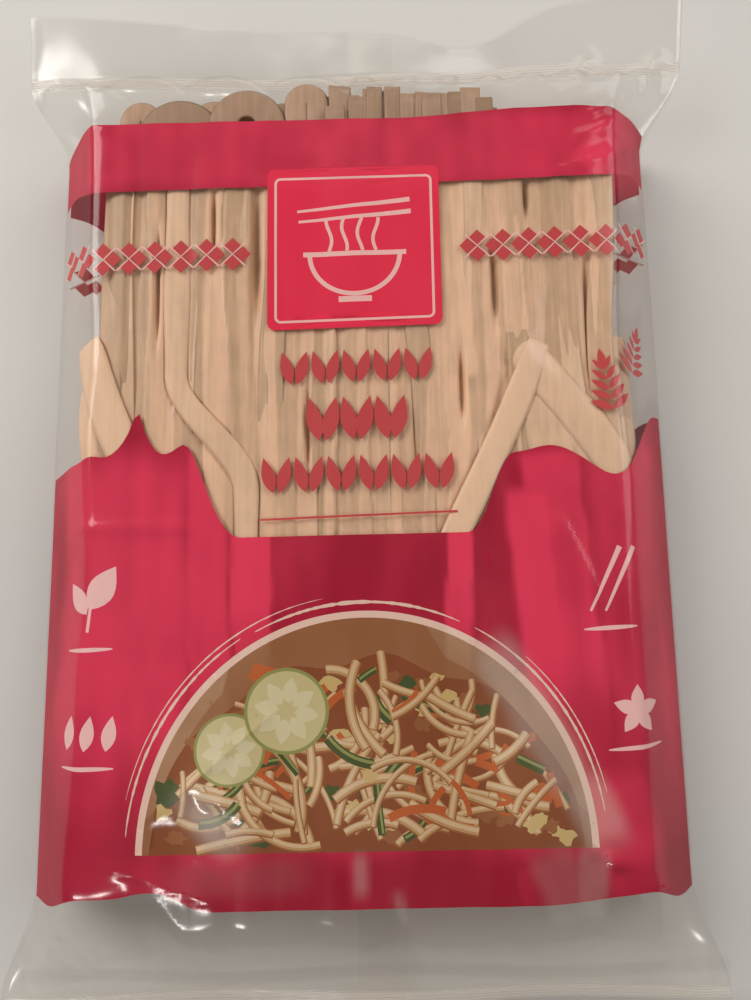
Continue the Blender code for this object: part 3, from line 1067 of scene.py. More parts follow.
stray_tones = [stray[4] for stray in STRAY_RIBBONS] + [SHIFT_TONE]
top_ends = loops_at_top() + square_ends() + cut_ends(86, LOOPS_END, SQUARE_END, top_span)
foot_ends = cut_ends(84, -BLOCK_HALF + 0.0040, BLOCK_HALF - 0.0030, foot_span)
ribbons_piece("noodle_runs", upper_runs() + stray_ribbons(), NOODLE, 71, stray_tones)
# The turns and ends at the top take lower tones as well: more painted shade.
ribbons_piece("noodle_loops", top_ends, NOODLE_ENDS_SHADED, 72, palest=0.60)
ribbons_piece("noodle_sides", stacked_sides() + foot_ends, NOODLE, 73)
ribbons_piece("noodle_under", under_runs(), NOODLE, 74)

# %% [markdown]
# ## The heart of the brick
# No one sees into the brick, so its middle is one closed mesh. Its upper side carries the
# pressed runs: each has a level, a tilt and a tone of its own, and at each place the highest one
# wins. That gives the steps between runs without a single crossing.

# %% The heart of the brick
CORE_UNDER = 0.0013
GAP_DEPTH = 0.0024
STRAY_SUNK = 0.0006
SOFT = 0.00004
CORE_TOP_INSET = 0.0125
CORE_SIDE_INSET = 0.0010
CORE_LOWEST = 0.0030


def packed_runs(x, y):
    """Height and tone of runs pressed into one face: at each place the highest run wins softly."""
    rng = np.random.default_rng(41)
    weight = np.full_like(x, 1e-6)
    height = np.zeros_like(x)
    tone = np.full_like(x, 0.5e-6)
    for start in np.arange(-BLOCK_HALF, BLOCK_HALF + 0.001, 0.0028):
        width = rng.uniform(0.0034, 0.0064)
        level = rng.uniform(0.0, 0.00036)
        centre = start + rng.normal(0.0, 0.0008) + rng.normal(0.0, 0.024) * (y - 0.020)
        centre = centre + 0.0006 * swing(rng, y, rng.uniform(0.015, 0.04))
        centre = parted(centre, y)
        tilt = rng.normal(0.0, 0.00016) + 0.00022 * swing(rng, y, rng.uniform(0.015, 0.05))
        off = (x - centre) / (0.5 * width)
        rise = level + tilt * off - 0.00012 * off**4
        share = np.clip((1.0 - np.abs(off)) / 0.11, 0.0, 1.0) * np.exp(np.minimum(rise / SOFT, 30.0))
        weight = weight + share
        height = height + share * rise
        tone = tone + share * (rng.uniform(0.0, 1.0) + 0.12 * off)
    return height / weight, tone / weight


def core_top(x, y):
    """Upper side of the closed middle: pressed runs, deep where they part, with painted shade there."""
    rise, tone = packed_runs(x, y)
    fibres = 0.00005 * soft_noise(x, 0.03 * y, 0.0007, 25)
    fibres = fibres + 0.00010 * soft_noise(x, 0.3 * y, 0.0030, 27)
    top = front_form(x, y) - CORE_UNDER + rise + fibres
    for gap_x, gap_y, reach, half in GAPS:
        near = np.exp(-(((x - gap_x) / (0.5 * half)) ** 2)) * ease(1.2 - np.abs(y - gap_y) / reach)
        top = top - GAP_DEPTH * near
        # Painted shade: the tone darkens in each gap, where shade falls between the runs.
        tone = tone - 0.8 * near
    tone = tone - 0.30 * ease((-x - 0.040) / 0.008) - 0.18 * ease((y - 0.055) / 0.015)
    below = ease((0.0032 - np.abs(x - shifted_x(y))) / 0.0010) * ease((y - SHIFT_FOOT) / 0.0020)
    for start, end, width, _, _ in STRAY_RIBBONS:
        below = np.maximum(below, strip(x, y, start, end, 0.5 * width, 0.0006, 0.0020))
    return top - STRAY_SUNK * below, tone


def make_core():
    """The brick's closed middle, with its upper side shaped as pressed runs."""
    share, along_brick = np.meshgrid(np.linspace(-1.0, 1.0, 331), np.linspace(0.0, 1.0, 100))
    foot = brick_foot(share * BLOCK_HALF) + 0.0003
    y = foot + (BLOCK_TOP - CORE_TOP_INSET - foot) * along_brick
    x = share * (block_edge(share, y) - CORE_SIDE_INSET)
    height, tone = core_top(x, y)
    height = height - 0.0016 * np.abs(share) ** 40
    top = np.stack([x, y, height], -1)
    base = np.stack([x * 0.97, y, np.full_like(x, CORE_LOWEST)], -1)
    rows, columns = share.shape
    points = np.concatenate([top.reshape(-1, 3), base.reshape(-1, 3)])
    under = rows * columns
    faces = grid_faces(rows, columns) + [face[::-1] for face in grid_faces(rows, columns, under)]
    border = [c for c in range(columns)] + [r * columns + columns - 1 for r in range(1, rows)]
    border += [(rows - 1) * columns + c for c in range(columns - 2, -1, -1)]
    border += [r * columns for r in range(rows - 2, 0, -1)]
    for here, after in zip(border, border[1:] + border[:1]):
        faces.append((after, here, under + here, under + after))
    piece = new_piece("noodle_core", points, faces, NOODLE)
    mark(piece, "tone", np.tile(tone.ravel(), 2))


make_core()

# %% [markdown]
# ## Print
# The ink is reverse printed: it lies on the inner side of the film and shows through it, crisp
# at its edges and as glossy as the film. Sheets of ink laid one over another would need a depth
# each. Instead all shapes are cut into one map, and every triangle of it takes the ink of the
# shape laid last, so no two inks ever share a place.

# %% Printing
PRINT_CELL = 0.0010
SIDE_LIMIT = 0.992


def under_film(flat):
    """Points a little below the front film."""
    height = film_front(flat[:, 0], flat[:, 1]) - INK_DEPTH
    return np.column_stack([flat, height])


def above_back(flat):
    """Points a little above the back film."""
    height = film_back(flat[:, 0], flat[:, 1]) + INK_DEPTH
    return np.column_stack([flat, height])


def askew(flat):
    """The film is pulled a little crooked over the brick: its print climbs to the right at the top."""
    climb = 0.028 * ease((flat[:, 1] + 0.035) / 0.090)
    return np.column_stack([flat[:, 0], flat[:, 1] + climb * flat[:, 0]])


def stroke(path, width):
    """A pen stroke as a chain of four-cornered shapes; width is one number or one a point."""
    path = np.asarray(path, float)
    ahead = np.gradient(path, axis=0)
    ahead /= np.maximum(np.linalg.norm(ahead, axis=1)[:, None], 1e-9)
    across = np.stack([ahead[:, 1], -ahead[:, 0]], 1) * 0.5 * np.broadcast_to(width, len(path))[:, None]
    right = path + across
    left = path - across
    return [np.array([right[i], right[i + 1], left[i + 1], left[i]]) for i in range(len(path) - 1)]


def anticlockwise(outline):
    """The outline turned so that it runs anticlockwise."""
    loop = np.asarray(outline, float)
    ahead = np.roll(loop, -1, axis=0)
    area = (loop[:, 0] * ahead[:, 1] - ahead[:, 0] * loop[:, 1]).sum()
    return loop if area > 0.0 else loop[::-1]


def inner_points(fields, cell):
    """Even points inside the large fields, so that the map can bend with the film."""
    found = []
    for outline in fields:
        loop = np.asarray(outline, float)
        lowest, highest = loop.min(0), loop.max(0)
        xs = np.arange(math.floor(lowest[0] / cell), highest[0] / cell + 1) * cell
        ys = np.arange(math.floor(lowest[1] / cell), highest[1] / cell + 1) * cell
        grid = np.stack(np.meshgrid(xs, ys), -1).reshape(-1, 2)
        grid = grid[inside_of(grid, loop)]
        found.append(grid[clear_of(grid, loop, 0.45 * cell)])
    return np.concatenate(found)


def print_map(name, laid, fields, place, under=False):
    """Cut all shapes into one map and make a piece of each ink; laid is a list of shape and ink."""
    points = [Vector(point) for point in inner_points(fields, PRINT_CELL) * 1000.0]
    outlines = []
    for outline, _ in laid:
        loop = anticlockwise(outline) * 1000.0
        outlines.append(list(range(len(points), len(points) + len(loop))))
        points.extend(Vector(point) for point in loop)
    made, _, triangles, _, _, origins = geometry.delaunay_2d_cdt(points, [], outlines, 0, 1e-5)
    flat = askew(np.array([point[:] for point in made]) / 1000.0)
    solid = place(flat)
    by_ink = {}
    for triangle, origin in zip(triangles, origins):
        if origin:
            by_ink.setdefault(laid[max(origin)][1], []).append(tuple(triangle))
    for label, faces in by_ink.items():
        used = sorted({corner for face in faces for corner in face})
        index = {corner: i for i, corner in enumerate(used)}
        local = [tuple(index[corner] for corner in face) for face in faces]
        if under:
            local = [face[::-1] for face in local]
        material, slot = INKS[label]
        piece = new_piece(name + "_" + label, solid[used], local, material)
        mark(piece, "ink_light", ink_light(flat[used, 0], flat[used, 1]))


# %% [markdown]
# ## Painted light and shade in the ink
# Ink is painted lighter where a noodle presses against it from behind and lights it through,
# and painted darker where it hangs free over shade. Painting the light places by hand would tie
# them to one size of pack. Each is a strip along the noodle behind it, and the mesh carries how
# much painted light it gets there.

# %% Where painted light and shade fall on the ink
RESTING_LIGHT = 0.25
PAINTED_LIGHT_STRIPS = (
    ((-0.0490, 0.0100), (-0.0500, -0.0560), 0.0145, 0.0030, 0.55),
    ((-0.0318, 0.0120), (-0.0308, -0.0450), 0.0042, 0.0008, 0.62),
    ((-0.0224, 0.0010), (-0.0220, -0.0310), 0.0042, 0.0005, 0.95),
    ((0.0211, -0.0050), (0.0203, -0.0290), 0.0026, 0.0004, 0.95),
    ((0.0352, 0.0020), (0.0385, -0.0420), 0.0042, 0.0012, 0.90),
    ((0.0400, 0.0100), (0.0450, -0.0450), 0.0060, 0.0010, 0.62),
    ((0.0560, 0.0140), (0.0600, -0.0500), 0.0090, 0.0030, 0.36),
    ((-0.0330, -0.0450), (-0.0300, -0.0680), 0.0060, 0.0040, 0.80),
    ((-0.0080, -0.0480), (-0.0060, -0.0650), 0.0050, 0.0040, 0.55),
    ((0.0280, -0.0420), (0.0340, -0.0660), 0.0050, 0.0035, 0.60),
    ((-0.0015, -0.0715), (-0.0005, -0.0800), 0.0020, 0.0005, 0.25),
    ((0.0335, -0.0730), (0.0352, -0.0800), 0.0038, 0.0006, 0.25),
    ((0.0500, -0.0560), (0.0560, -0.0800), 0.0070, 0.0020, 0.40),
    ((-0.0640, 0.0790), (0.0640, 0.0790), 0.0090, 0.0030, 0.38),
    ((0.0500, 0.0740), (0.0620, 0.0860), 0.0040, 0.0015, 0.75),
)


def ink_light(x, y):
    """How much painted light the ink gets where the brick presses against the film: 0 none, which leaves
    painted shade, 1 full.
    """
    pressed = np.zeros_like(x)
    for start, end, half, soft, share in PAINTED_LIGHT_STRIPS:
        pressed = np.maximum(pressed, share * strip(x, y, start, end, half, soft))
    # Painted shade at the foot: there, right of the left corner, the ink gets no resting light.
    resting_light = RESTING_LIGHT * np.maximum(ease((y + 0.0745) / 0.0060), ease((-x - 0.030) / 0.012))
    pressed = resting_light + (1.0 - resting_light) * pressed
    streaks = 0.10 * soft_noise(x, 0.2 * y, 0.0030, 23) + 0.06 * soft_noise(x, y, 0.0050, 24)
    return pressed + streaks * (0.3 + pressed)


# %% Inks
INKS = {
    "pink": (PINK, "pink_print"),
    "crimson": (CRIMSON, "pink_print"),
    "rose": (ROSE, "pink_print"),
    "blush": (BLUSH, "pale_print"),
    "cream": (CREAM, "pale_print"),
}
# Each picture ink is a pair as well: its tone in painted shade, then its tone in painted light.
PICTURE_INKS = {
    "bowl": ((0.32, 0.118, 0.044), (0.42, 0.200, 0.100)),
    "bowl_light": ((0.36, 0.168, 0.084), (0.52, 0.290, 0.165)),
    "shade": ((0.25, 0.066, 0.020), (0.33, 0.110, 0.045)),
    "strand": ((0.52, 0.280, 0.110), (0.68, 0.420, 0.210)),
    "strand_light": ((0.66, 0.440, 0.240), (0.84, 0.640, 0.430)),
    "shred": ((0.300, 0.100, 0.035), (0.42, 0.180, 0.075)),
    "egg": ((0.60, 0.400, 0.140), (0.74, 0.560, 0.280)),
    "orange": ((0.52, 0.110, 0.026), (0.64, 0.170, 0.050)),
    "green": ((0.060, 0.080, 0.022), (0.110, 0.130, 0.045)),
    "green_light": ((0.28, 0.290, 0.085), (0.36, 0.360, 0.130)),
    "slice": ((0.60, 0.500, 0.240), (0.70, 0.600, 0.340)),
    "slice_light": ((0.70, 0.610, 0.370), (0.78, 0.690, 0.460)),
}
for label, (loose, pressed) in PICTURE_INKS.items():
    INKS[label] = (ink(label + "_ink", loose, pressed), "picture_print")
laid = []
fields = []


def lay(label, shapes):
    """Lay shapes of one ink on top of all that has been laid."""
    laid.extend((shape, label) for shape in shapes)


# %% Outlines
def along(start, end, count):
    """Evenly spaced points from start to end."""
    return [tuple(np.add(start, np.multiply(np.subtract(end, start), t))) for t in np.linspace(0, 1, count)]


def arc(centre, radius, start, end, count):
    """Points on an arc, by angles in degrees; radius is one number or a pair."""
    rx, ry = radius if isinstance(radius, tuple) else (radius, radius)
    turns = np.radians(np.linspace(start, end, count))
    return [(centre[0] + rx * math.cos(a), centre[1] + ry * math.sin(a)) for a in turns]


def rounded(x0, y0, x1, y1, radius):
    """A rectangle with round corners, anticlockwise."""
    corners = ((x1, y0, -90), (x1, y1, 0), (x0, y1, 90), (x0, y0, 180))
    points = []
    for x, y, turn in corners:
        cx = x - radius if x == x1 else x + radius
        cy = y - radius if y == y1 else y + radius
        points.extend(arc((cx, cy), radius, turn, turn + 90, 6))
    return points


def leaf(base, tip, fat, count=9):
    """A leaf or grain between two points; fat is its width as a share of its length."""
    base = np.array(base)
    ahead = np.array(tip) - base
    across = np.array([-ahead[1], ahead[0]]) * 0.5 * fat
    t = np.linspace(0.0, 1.0, count)
    swell = np.sin(math.pi * t**0.85)
    one = base + t[:, None] * ahead + swell[:, None] * across
    other = base + t[:, None] * ahead - swell[:, None] * across
    return [tuple(p) for p in np.concatenate([other, one[-2:0:-1]])]


def side_x(y, side):
    """The print's edge near the side crease."""
    return side * SIDE_LIMIT * half_width(y)


def band_outline(foot, top, step=0.002):
    """A field right across the pack between two edges, each a function of x."""
    def edge(line):
        right = side_x(line(side_x(line(0.0), 1.0)), 1.0)
        return [(x, line(x)) for x in np.linspace(-right, right, 120)]

    lower = edge(foot)
    upper = edge(top)[::-1]
    rise = np.arange(lower[-1][1] + step, upper[0][1] - 0.5 * step, step)
    fall = np.arange(upper[-1][1] - step, lower[0][1] + 0.5 * step, -step)
    return lower + [(side_x(y, 1.0), y) for y in rise] + upper + [(side_x(y, -1.0), y) for y in fall]


# %% [markdown]
# ## Pink band and field
# Two solid fields carry most of the colour: a band across the top and a field over the lower
# half, which rises in soft hills at both sides of a clear window. Each is one outline between
# two edges, and the edges are formulas, so they can pucker with the film.

# %% Band and field
BAND_FOOT = 0.0705
BAND_TOP = 0.0862
FIELD_FOOT = -0.0807


def drawn_out(x):
    """How far the print is pulled towards the ends where the film turns down at the sides."""
    return 0.0040 * float(ease((abs(x) - 0.0565) / 0.0100))


def hills(x):
    """Upper edge of the pink field: low in the middle, with soft hills at both sides."""
    left = 0.0165 * ease((-x - 0.025) / 0.012) + 0.0030 * math.exp(-(((x + 0.036) / 0.0035) ** 2))
    left += 0.0125 * math.exp(-abs(x + 0.0465) / 0.0028) + 0.0020 * math.exp(-(((x + 0.0565) / 0.003) ** 2))
    right = 0.0155 * ease((x - 0.023) / 0.010) + 0.0022 * math.exp(-(((x - 0.0385) / 0.0060) ** 2))
    right += 0.0100 * ease((x - 0.056) / 0.011) - 0.0045 * math.exp(-(((x - 0.0545) / 0.0050) ** 2))
    ripple = 0.0005 * math.sin(x / 0.0021) * ease((abs(x) - 0.024) / 0.006)
    return float(-0.0070 + left + right + ripple)


def field_foot(x):
    """Lower edge of the pink field: puckered on the left, rising a little on the right."""
    pucker = 0.0032 * math.exp(-(((x + 0.0395) / 0.0050) ** 2)) + 0.0026 * float(ease((-x - 0.038) / 0.008))
    return FIELD_FOOT + pucker + 0.0026 * float(ease((x - 0.034) / 0.030)) - drawn_out(x)


def band_foot(x):
    """Lower edge of the band."""
    return BAND_FOOT + drawn_out(x)


def band_top(x):
    """Upper edge of the band: highest right of the middle."""
    rise = 0.0012 * float(ease((x - 0.010) / 0.030)) * float(ease((0.062 - x) / 0.014))
    return BAND_TOP + rise + 0.3 * drawn_out(x)


band = band_outline(band_foot, band_top)
field = band_outline(field_foot, hills)
fields.extend([band, field])
lay("pink", [band, field])

# %% [markdown]
# ## Panel and ornament
# A lighter panel hangs from the band, with a fine pale line inside its edge and a plain bowl
# with chopsticks in it. A lattice of small lozenges, an old weaving pattern, runs out from it
# to both sides. A loop lays it out in groups of three, each over a pale cross. Rows of grains
# stand below the panel, with a fine rule under the last.

# %% Panel with a bowl
PANEL = (-0.0190, 0.0377, 0.0187, 0.0745)
FRAME_INSET = 0.0018
BOWL_AT = (0.0, 0.0545)
panel = rounded(*PANEL, 0.0016)
fields.append(panel)
lay("crimson", [panel])
frame_line = rounded(PANEL[0] + FRAME_INSET, PANEL[1] + FRAME_INSET, PANEL[2] - FRAME_INSET, 0.0722, 0.0011)
lay("blush", stroke(frame_line + frame_line[:2], 0.00055))
x, y = BOWL_AT
lay("blush", stroke(along((x - 0.0112, y), (x + 0.0112, y), 16), 0.0011))
lay("blush", stroke(arc((x, y), (0.0098, 0.0092), 180, 360, 40), 0.0010))
lay("blush", stroke(along((x - 0.0036, y - 0.0104), (x + 0.0036, y - 0.0104), 6), 0.0013))
tapered = np.linspace(0.0006, 0.0011, 18)
lay("blush", stroke(along((x - 0.0125, y + 0.0100), (x + 0.0122, y + 0.0122), 18), tapered))
lay("blush", stroke(along((x - 0.0122, y + 0.0076), (x + 0.0124, y + 0.0094), 18), tapered))
for i in range(4):
    left = x - 0.0056 + 0.0034 * i
    drop = [(left + 0.0006 * math.sin(5.0 * t + i), y + 0.0006 + 0.0076 * t) for t in np.linspace(0, 1, 14)]
    lay("blush", stroke(drop, 0.00075))

# %% Lozenge lattice
LOZENGE_PITCH = 0.00563
LOZENGE_ROW = 0.00193
LOZENGE_HALF = 0.00178
LOZENGE_NEAR = 0.00218
LATTICE_Y = 0.0552
LATTICE_STARTS = ((-1.0, -0.0243), (1.0, 0.0246))
GAP_LINE = 0.00036


def lozenge(x, y):
    """One lozenge of the lattice."""
    return [(x - LOZENGE_HALF, y), (x, y - LOZENGE_HALF), (x + LOZENGE_HALF, y), (x, y + LOZENGE_HALF)]


def lattice(side, start):
    """Groups of three lozenges from start out to the side, and a pale cross in each group."""
    lozenges = []
    lines = []
    limit = SIDE_LIMIT * half_width(LATTICE_Y) - 2.0 * LOZENGE_HALF
    step = 0
    while abs(start) + LOZENGE_PITCH * step < limit:
        near = start + side * LOZENGE_PITCH * step
        x = near + side * LOZENGE_NEAR
        y = LATTICE_Y + drawn_out(x)
        lozenges.append(lozenge(near, LATTICE_Y + drawn_out(near)))
        for up in (-1.0, 1.0):
            lozenges.append(lozenge(x, y + up * LOZENGE_ROW))
            for turn in (-1.0, 1.0):
                middle_point = (x, y + up * 0.0001)
                far = (x + turn * 0.0027, y + up * 0.0026)
                lines.extend(stroke(along(middle_point, far, 4), GAP_LINE))
        step += 1
    return lozenges, lines


def lay_lattices():
    """Lay the lattice on both sides of the middle."""
    for side, start in LATTICE_STARTS:
        lozenges, lines = lattice(side, start)
        lay("blush", lines)
        lay("rose", lozenges)


lay_lattices()


# %% Rows of grains under the panel
def grain_row(y, half, count, tall):
    """A row of slanted grains, leaning left and right in turn."""
    shapes = []
    step = 2.0 * half / count
    for i in range(count):
        x = -half + (i + 0.5) * step
        slant = 0.30 * step * (1 if i % 2 else -1)
        shapes.append(leaf((x - slant, y - 0.5 * tall), (x + slant, y + 0.5 * tall), 0.36))
    return shapes


lay("rose", grain_row(0.0292, 0.0165, 10, 0.0072))
lay("rose", grain_row(0.0178, 0.0108, 6, 0.0094))
lay("rose", grain_row(0.0060, 0.0205, 12, 0.0076))
lay("rose", stroke(along((-0.0205, -0.0034), (0.0207, -0.0026), 40), 0.00045))

# %% [markdown]
# ## Bowl picture
# Most packs show the dish that can be made. A half-round bowl stands on the foot of the field,
# with a painted rim drawn in dry brush strokes. Its filling is simple printed shapes: noodles
# as strokes with a dark edge and a light core, and greens, shreds and slices among them. The
# map takes care of what covers what, so each shape is simply laid on the last.

# %% The bowl and its rim
DISH = (0.0010, -0.0699)
DISH_HALF = (0.0465, 0.0478)
WALL = 0.965
HEAP = 0.93


def on_rim(share, start, end, count):
    """Points on the rim, or on a larger or smaller copy of it."""
    return arc(DISH, (share * DISH_HALF[0], share * DISH_HALF[1]), start, end, count)


def half_round(share):
    """The half-round outline of the bowl, or of a smaller copy of it."""
    rim = on_rim(share, 0, 180, 70)
    return rim + along(rim[-1], rim[0], 40)[1:-1]


def food_edge(x):
    """Upper edge of the heap of food in the bowl."""
    u = (x - DISH[0]) / DISH_HALF[0]
    round_top = math.sqrt(max(0.0, 1.0 - (u / HEAP) ** 2))
    return DISH[1] + 0.0375 * round_top + 0.0013 * math.sin(x / 0.0034) * round_top


wall = half_round(WALL)
fields.append(wall)
lay("bowl", [wall])
lay("bowl_light", [on_rim(WALL, 8, 74, 50) + on_rim(0.86, 66, 16, 40)])
lay("bowl_light", [on_rim(WALL, 128, 172, 40) + on_rim(0.90, 166, 134, 30)])
heap_x = np.linspace(DISH[0] - HEAP * DISH_HALF[0], DISH[0] + HEAP * DISH_HALF[0], 80)
heap = [(x, food_edge(x)) for x in heap_x[::-1]] + along((heap_x[0], DISH[1]), (heap_x[-1], DISH[1]), 40)
lay("shade", [heap])
lay("cream", stroke(on_rim(0.974, 0, 180, 120), 0.0014))
BRUSH_RINGS = (
    (8, 62, 1.030, 0.0007),
    (66, 118, 1.026, 0.0009),
    (122, 176, 1.034, 0.0007),
    (100, 168, 1.058, 0.0004),
    (12, 48, 1.055, 0.0004),
)
rng = np.random.default_rng(91)
for start, end, share, width in BRUSH_RINGS:
    fade = np.sin(np.linspace(0.05, math.pi - 0.05, 50)) ** 0.5
    ragged = 0.75 + 0.25 * rng.uniform(-1.0, 1.0, 50)
    lay("cream", stroke(on_rim(share, start, end, 50), width * fade * ragged))


# %% What is in the bowl
FOOD = 0.92
CURL_POINTS = 16
CURL_BEND = 110.0


def in_food(x, y):
    """Whether a place lies in the heap of food."""
    u = (x - DISH[0]) / (FOOD * DISH_HALF[0])
    v = (y - DISH[1]) / (FOOD * DISH_HALF[1])
    return u * u + v * v < 1.0 and DISH[1] + 0.0008 < y < food_edge(x) + 0.0008


def curl(rng, length):
    """The path of a noodle or shred in the bowl: a short curl at a random place."""
    while True:
        x = rng.uniform(-0.90, 0.90) * DISH_HALF[0] + DISH[0]
        y = DISH[1] + rng.uniform(0.001, 0.036)
        turn = rng.uniform(0.0, 2.0 * math.pi)
        bend = rng.uniform(-1.0, 1.0) * CURL_BEND
        path = []
        for _ in range(CURL_POINTS):
            path.append((x, y))
            x += length / CURL_POINTS * math.cos(turn)
            y += length / CURL_POINTS * math.sin(turn)
            turn += bend * length / CURL_POINTS
        if all(in_food(*point) for point in path):
            return np.array(path)


def bite(rng, size):
    """A rounded piece with an uneven edge, at a random place in the heap."""
    centre = curl(rng, 0.001)[0]
    turns = np.linspace(0.0, 2.0 * math.pi, 14, endpoint=False)
    reach = size * (0.75 + 0.25 * rng.uniform(-1.0, 1.0, 14))
    spread = rng.uniform(0.55, 1.0)
    limit = FOOD * DISH_HALF[0]
    x = np.clip(centre[0] + reach * np.cos(turns), DISH[0] - limit, DISH[0] + limit)
    y = np.maximum(centre[1] + spread * reach * np.sin(turns), DISH[1] + 0.0003)
    return np.stack([x, y], 1)


rng = np.random.default_rng(19)
for i in range(54):
    lay(("orange", "shred", "shred", "egg", "green")[i % 5], [bite(rng, rng.uniform(0.0016, 0.0036))])
for i in range(150):
    path = curl(rng, rng.uniform(0.008, 0.022))
    width = rng.uniform(0.0009, 0.0018)
    if i % 9 == 3:
        lay("green", stroke(path[:9], width * 1.3))
        lay("green_light", stroke(path[:9] + (0.0002, 0.0003), width * 0.4))
    elif i % 5 == 1:
        lay("orange", stroke(path[:10], width))
    elif i % 11 == 5:
        lay("egg", [bite(rng, 0.0022)])
    else:
        lay("shred", stroke(path + (0.00010, -0.00020), width * 1.25))
        lay("strand", stroke(path, width))
        lay("strand_light", stroke(path + (0.0, 0.00014), width * 0.50))

SLICES = ((-0.0265, -0.0500, 0.0072, 10), (-0.0150, -0.0425, 0.0086, 35))
for x, y, radius, turned in SLICES:
    lay("green_light", [arc((x, y), radius, 0, 354, 60)])
    lay("slice", [arc((x, y), 0.92 * radius, 0, 354, 60)])
    for k in range(8):
        turn = math.radians(45 * k + turned)
        ahead = np.array([math.cos(turn), math.sin(turn)]) * radius
        lay("slice_light", [leaf((x, y) + 0.18 * ahead, (x, y) + 0.78 * ahead, 0.60)])

# %% [markdown]
# ## Small marks
# Four small pale marks stand beside the bowl, where a pack says what is good about the food.
# Here they are a sprig, three grains, a pair of chopsticks and a flower, each over a stroke.
# Two leafy sprigs in the ink of the lattice stand on the clear film above the right-hand hill.

# %% Marks beside the bowl
def brush_line(x, y, half, rise):
    """A short stroke that swells in the middle, as from a brush."""
    swell = 0.0009 * np.sin(np.linspace(0.12, math.pi - 0.12, 24)) ** 0.6
    return stroke(along((x - half, y), (x + half, y + rise), 24), swell)


lay("blush", [leaf((-0.0560, -0.0215), (-0.0505, -0.0125), 0.55)])
lay("blush", [leaf((-0.0565, -0.0225), (-0.0612, -0.0158), 0.50)])
lay("blush", stroke(along((-0.0562, -0.0262), (-0.0556, -0.0205), 8), 0.0007))
lay("blush", brush_line(-0.0560, -0.0300, 0.0052, 0.0004))
lay("blush", [leaf((x, -0.0500), (x + 0.0012, -0.0430), 0.42) for x in (-0.0605, -0.0560, -0.0515)])
lay("blush", brush_line(-0.0558, -0.0535, 0.0060, 0.0002))
for x in (0.0475, 0.0505):
    lay("blush", stroke(along((x, -0.0235), (x + 0.0065, -0.0105), 12), np.linspace(0.0005, 0.0011, 12)))
lay("blush", brush_line(0.0515, -0.0272, 0.0055, 0.0006))
FLOWER = np.array([0.0562, -0.0435])
PETAL = 0.0052
for k in range(5):
    turn = math.radians(72.0 * k + 90.0)
    tip = FLOWER + PETAL * np.array([math.cos(turn), math.sin(turn)])
    lay("blush", [leaf(FLOWER, tip, 0.55)])
lay("blush", brush_line(0.0560, -0.0512, 0.0062, 0.0008))


def sprig(x, y, size, lean):
    """A sprig: leaves in pairs along a short stem."""
    shapes = []
    ahead = np.array([math.sin(lean), math.cos(lean)])
    across = np.array([ahead[1], -ahead[0]])
    for k in range(5):
        root = np.array([x, y]) + ahead * size * 0.17 * k
        for side in (-1.0, 1.0):
            tip = root + ahead * size * 0.22 + across * side * size * (0.36 - 0.05 * k)
            shapes.append(leaf(root, tip, 0.34))
    top = np.array([x, y]) + ahead * size
    shapes.append(leaf(top - ahead * size * 0.28, top + ahead * size * 0.06, 0.4))
    return shapes


lay("rose", sprig(0.0545, 0.0180, 0.0125, -0.2))
lay("rose", sprig(0.0600, 0.0265, 0.0110, 0.25))
print_map("front", laid, fields, under_film)

# %% [markdown]
# ## Back of the pack
# The back lies on the table. A pack's tube is printed all round, so the back carries the same
# band, field and lattice, and a plain pale box where a pack lists what is in it.

# %% Print on the back
laid = []
lay("pink", [band, field])
lay_lattices()
box = rounded(-0.0400, -0.0640, 0.0400, -0.0180, 0.0020)
lay("cream", [box])
lay("crimson", stroke(rounded(-0.0385, -0.0625, 0.0385, -0.0195, 0.0012) + [(0.0373, -0.0625)], 0.0004))
print_map("back", laid, [band, field], above_back, under=True)

# %% [markdown]
# ## Camera, floor and light
# The pack is seen almost straight from above, from about 20 cm, so near parts look larger than
# far ones. A long lens would flatten that, so the camera stands as close as the real one did.

# %% Camera
PHOTO_HEIGHT = 1000
FOCAL_PIXELS = 830
SENSOR_MM = 36.0
camera_data = bpy.data.cameras.new("camera")
camera_data.sensor_width = SENSOR_MM
camera_data.lens = SENSOR_MM * FOCAL_PIXELS / PHOTO_HEIGHT
camera_data.clip_start = 0.01
camera = bpy.data.objects.new("camera", camera_data)
camera.location = (0.0033, -0.0230, 0.1960)
camera.rotation_euler = Euler((math.radians(7.7), 0.0, math.radians(-0.9)), "XYZ")
bpy.context.scene.collection.objects.link(camera)
bpy.context.scene.camera = camera
print("lens in mm:", round(camera_data.lens, 2))


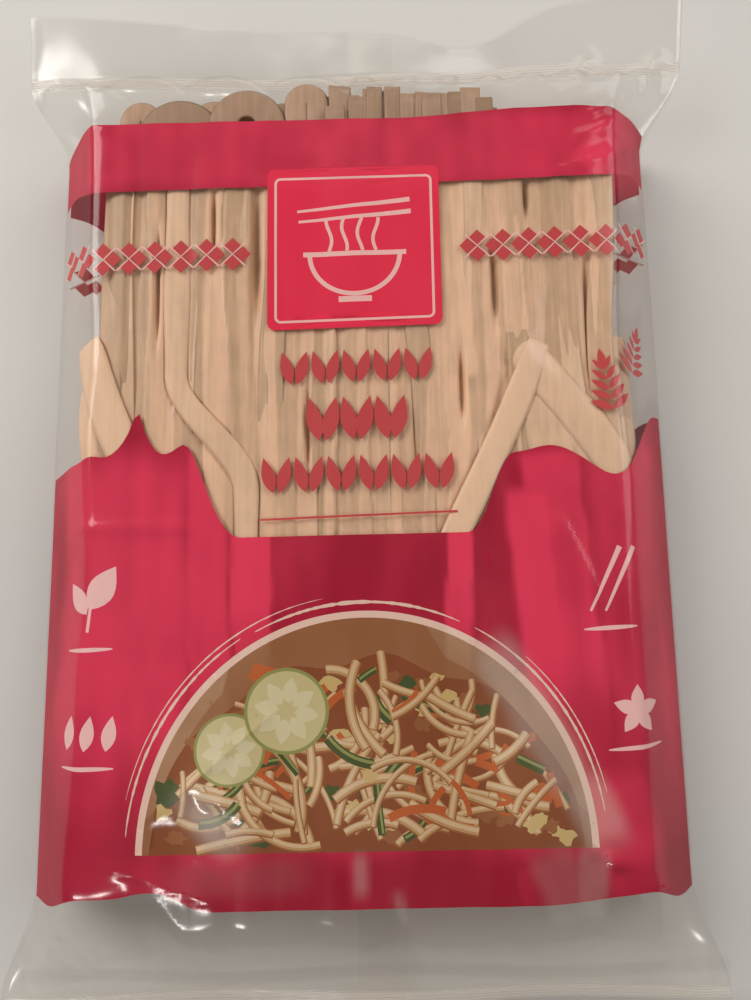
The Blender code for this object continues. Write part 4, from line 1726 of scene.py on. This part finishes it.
# %% Floor and lights
FLOOR_HALF = 3.0
FLOOR_CORNERS = ((-1, -1), (1, -1), (1, 1), (-1, 1))
WARM = (1.0, 0.97, 0.93)
AIM = Vector((0.0, 0.0, 0.01))


def make_floor():
    """A plain pale floor just below the pack."""
    material, tree = blank_material("pale_floor")
    shader = tree.nodes["Principled BSDF"]
    shade = ramp_of(tree, stretched_noise(tree, (1.0, 1.0, 1.0), 9.0, 3.0), 0.3, 0.7)
    colour = mixed(tree, shade, (0.70, 0.68, 0.65, 1.0), (0.74, 0.72, 0.69, 1.0))
    tree.links.new(colour, shader.inputs["Base Color"])
    shader.inputs["Roughness"].default_value = 0.75
    mesh = bpy.data.meshes.new("floor")
    corners = [(side * FLOOR_HALF, end * FLOOR_HALF, 0.0) for side, end in FLOOR_CORNERS]
    mesh.from_pydata(corners, [], [(0, 1, 2, 3)])
    mesh.materials.append(material)
    floor = bpy.data.objects.new("floor", mesh)
    floor.location.z = -0.0002
    bpy.context.scene.collection.objects.link(floor)


def softbox(name, place, size, power):
    """A square soft light that looks at the pack."""
    light = bpy.data.lights.new(name, "AREA")
    light.shape = "SQUARE"
    light.size = size
    light.energy = power
    light.color = WARM
    lamp = bpy.data.objects.new(name, light)
    lamp.location = place
    lamp.rotation_euler = (AIM - Vector(place)).to_track_quat("-Z", "Y").to_euler()
    bpy.context.scene.collection.objects.link(lamp)


make_floor()
softbox("key_softbox", (-0.54, 0.36, 0.50), 0.42, 3.80)
softbox("right_softbox", (0.52, 0.24, 0.44), 0.50, 2.00)
softbox("front_softbox", (-0.26, -0.50, 0.86), 0.08, 1.1)
softbox("back_softbox", (0.05, 1.25, 0.70), 0.60, 1.8)
world = bpy.data.worlds.new("studio")
world.use_nodes = True
world.node_tree.nodes["Background"].inputs["Color"].default_value = (1.0, 0.975, 0.95, 1.0)
world.node_tree.nodes["Background"].inputs["Strength"].default_value = 0.15
bpy.context.scene.world = world
bpy.context.scene.view_settings.view_transform = "Standard"
print("lights:", [light.name for light in bpy.data.lights])
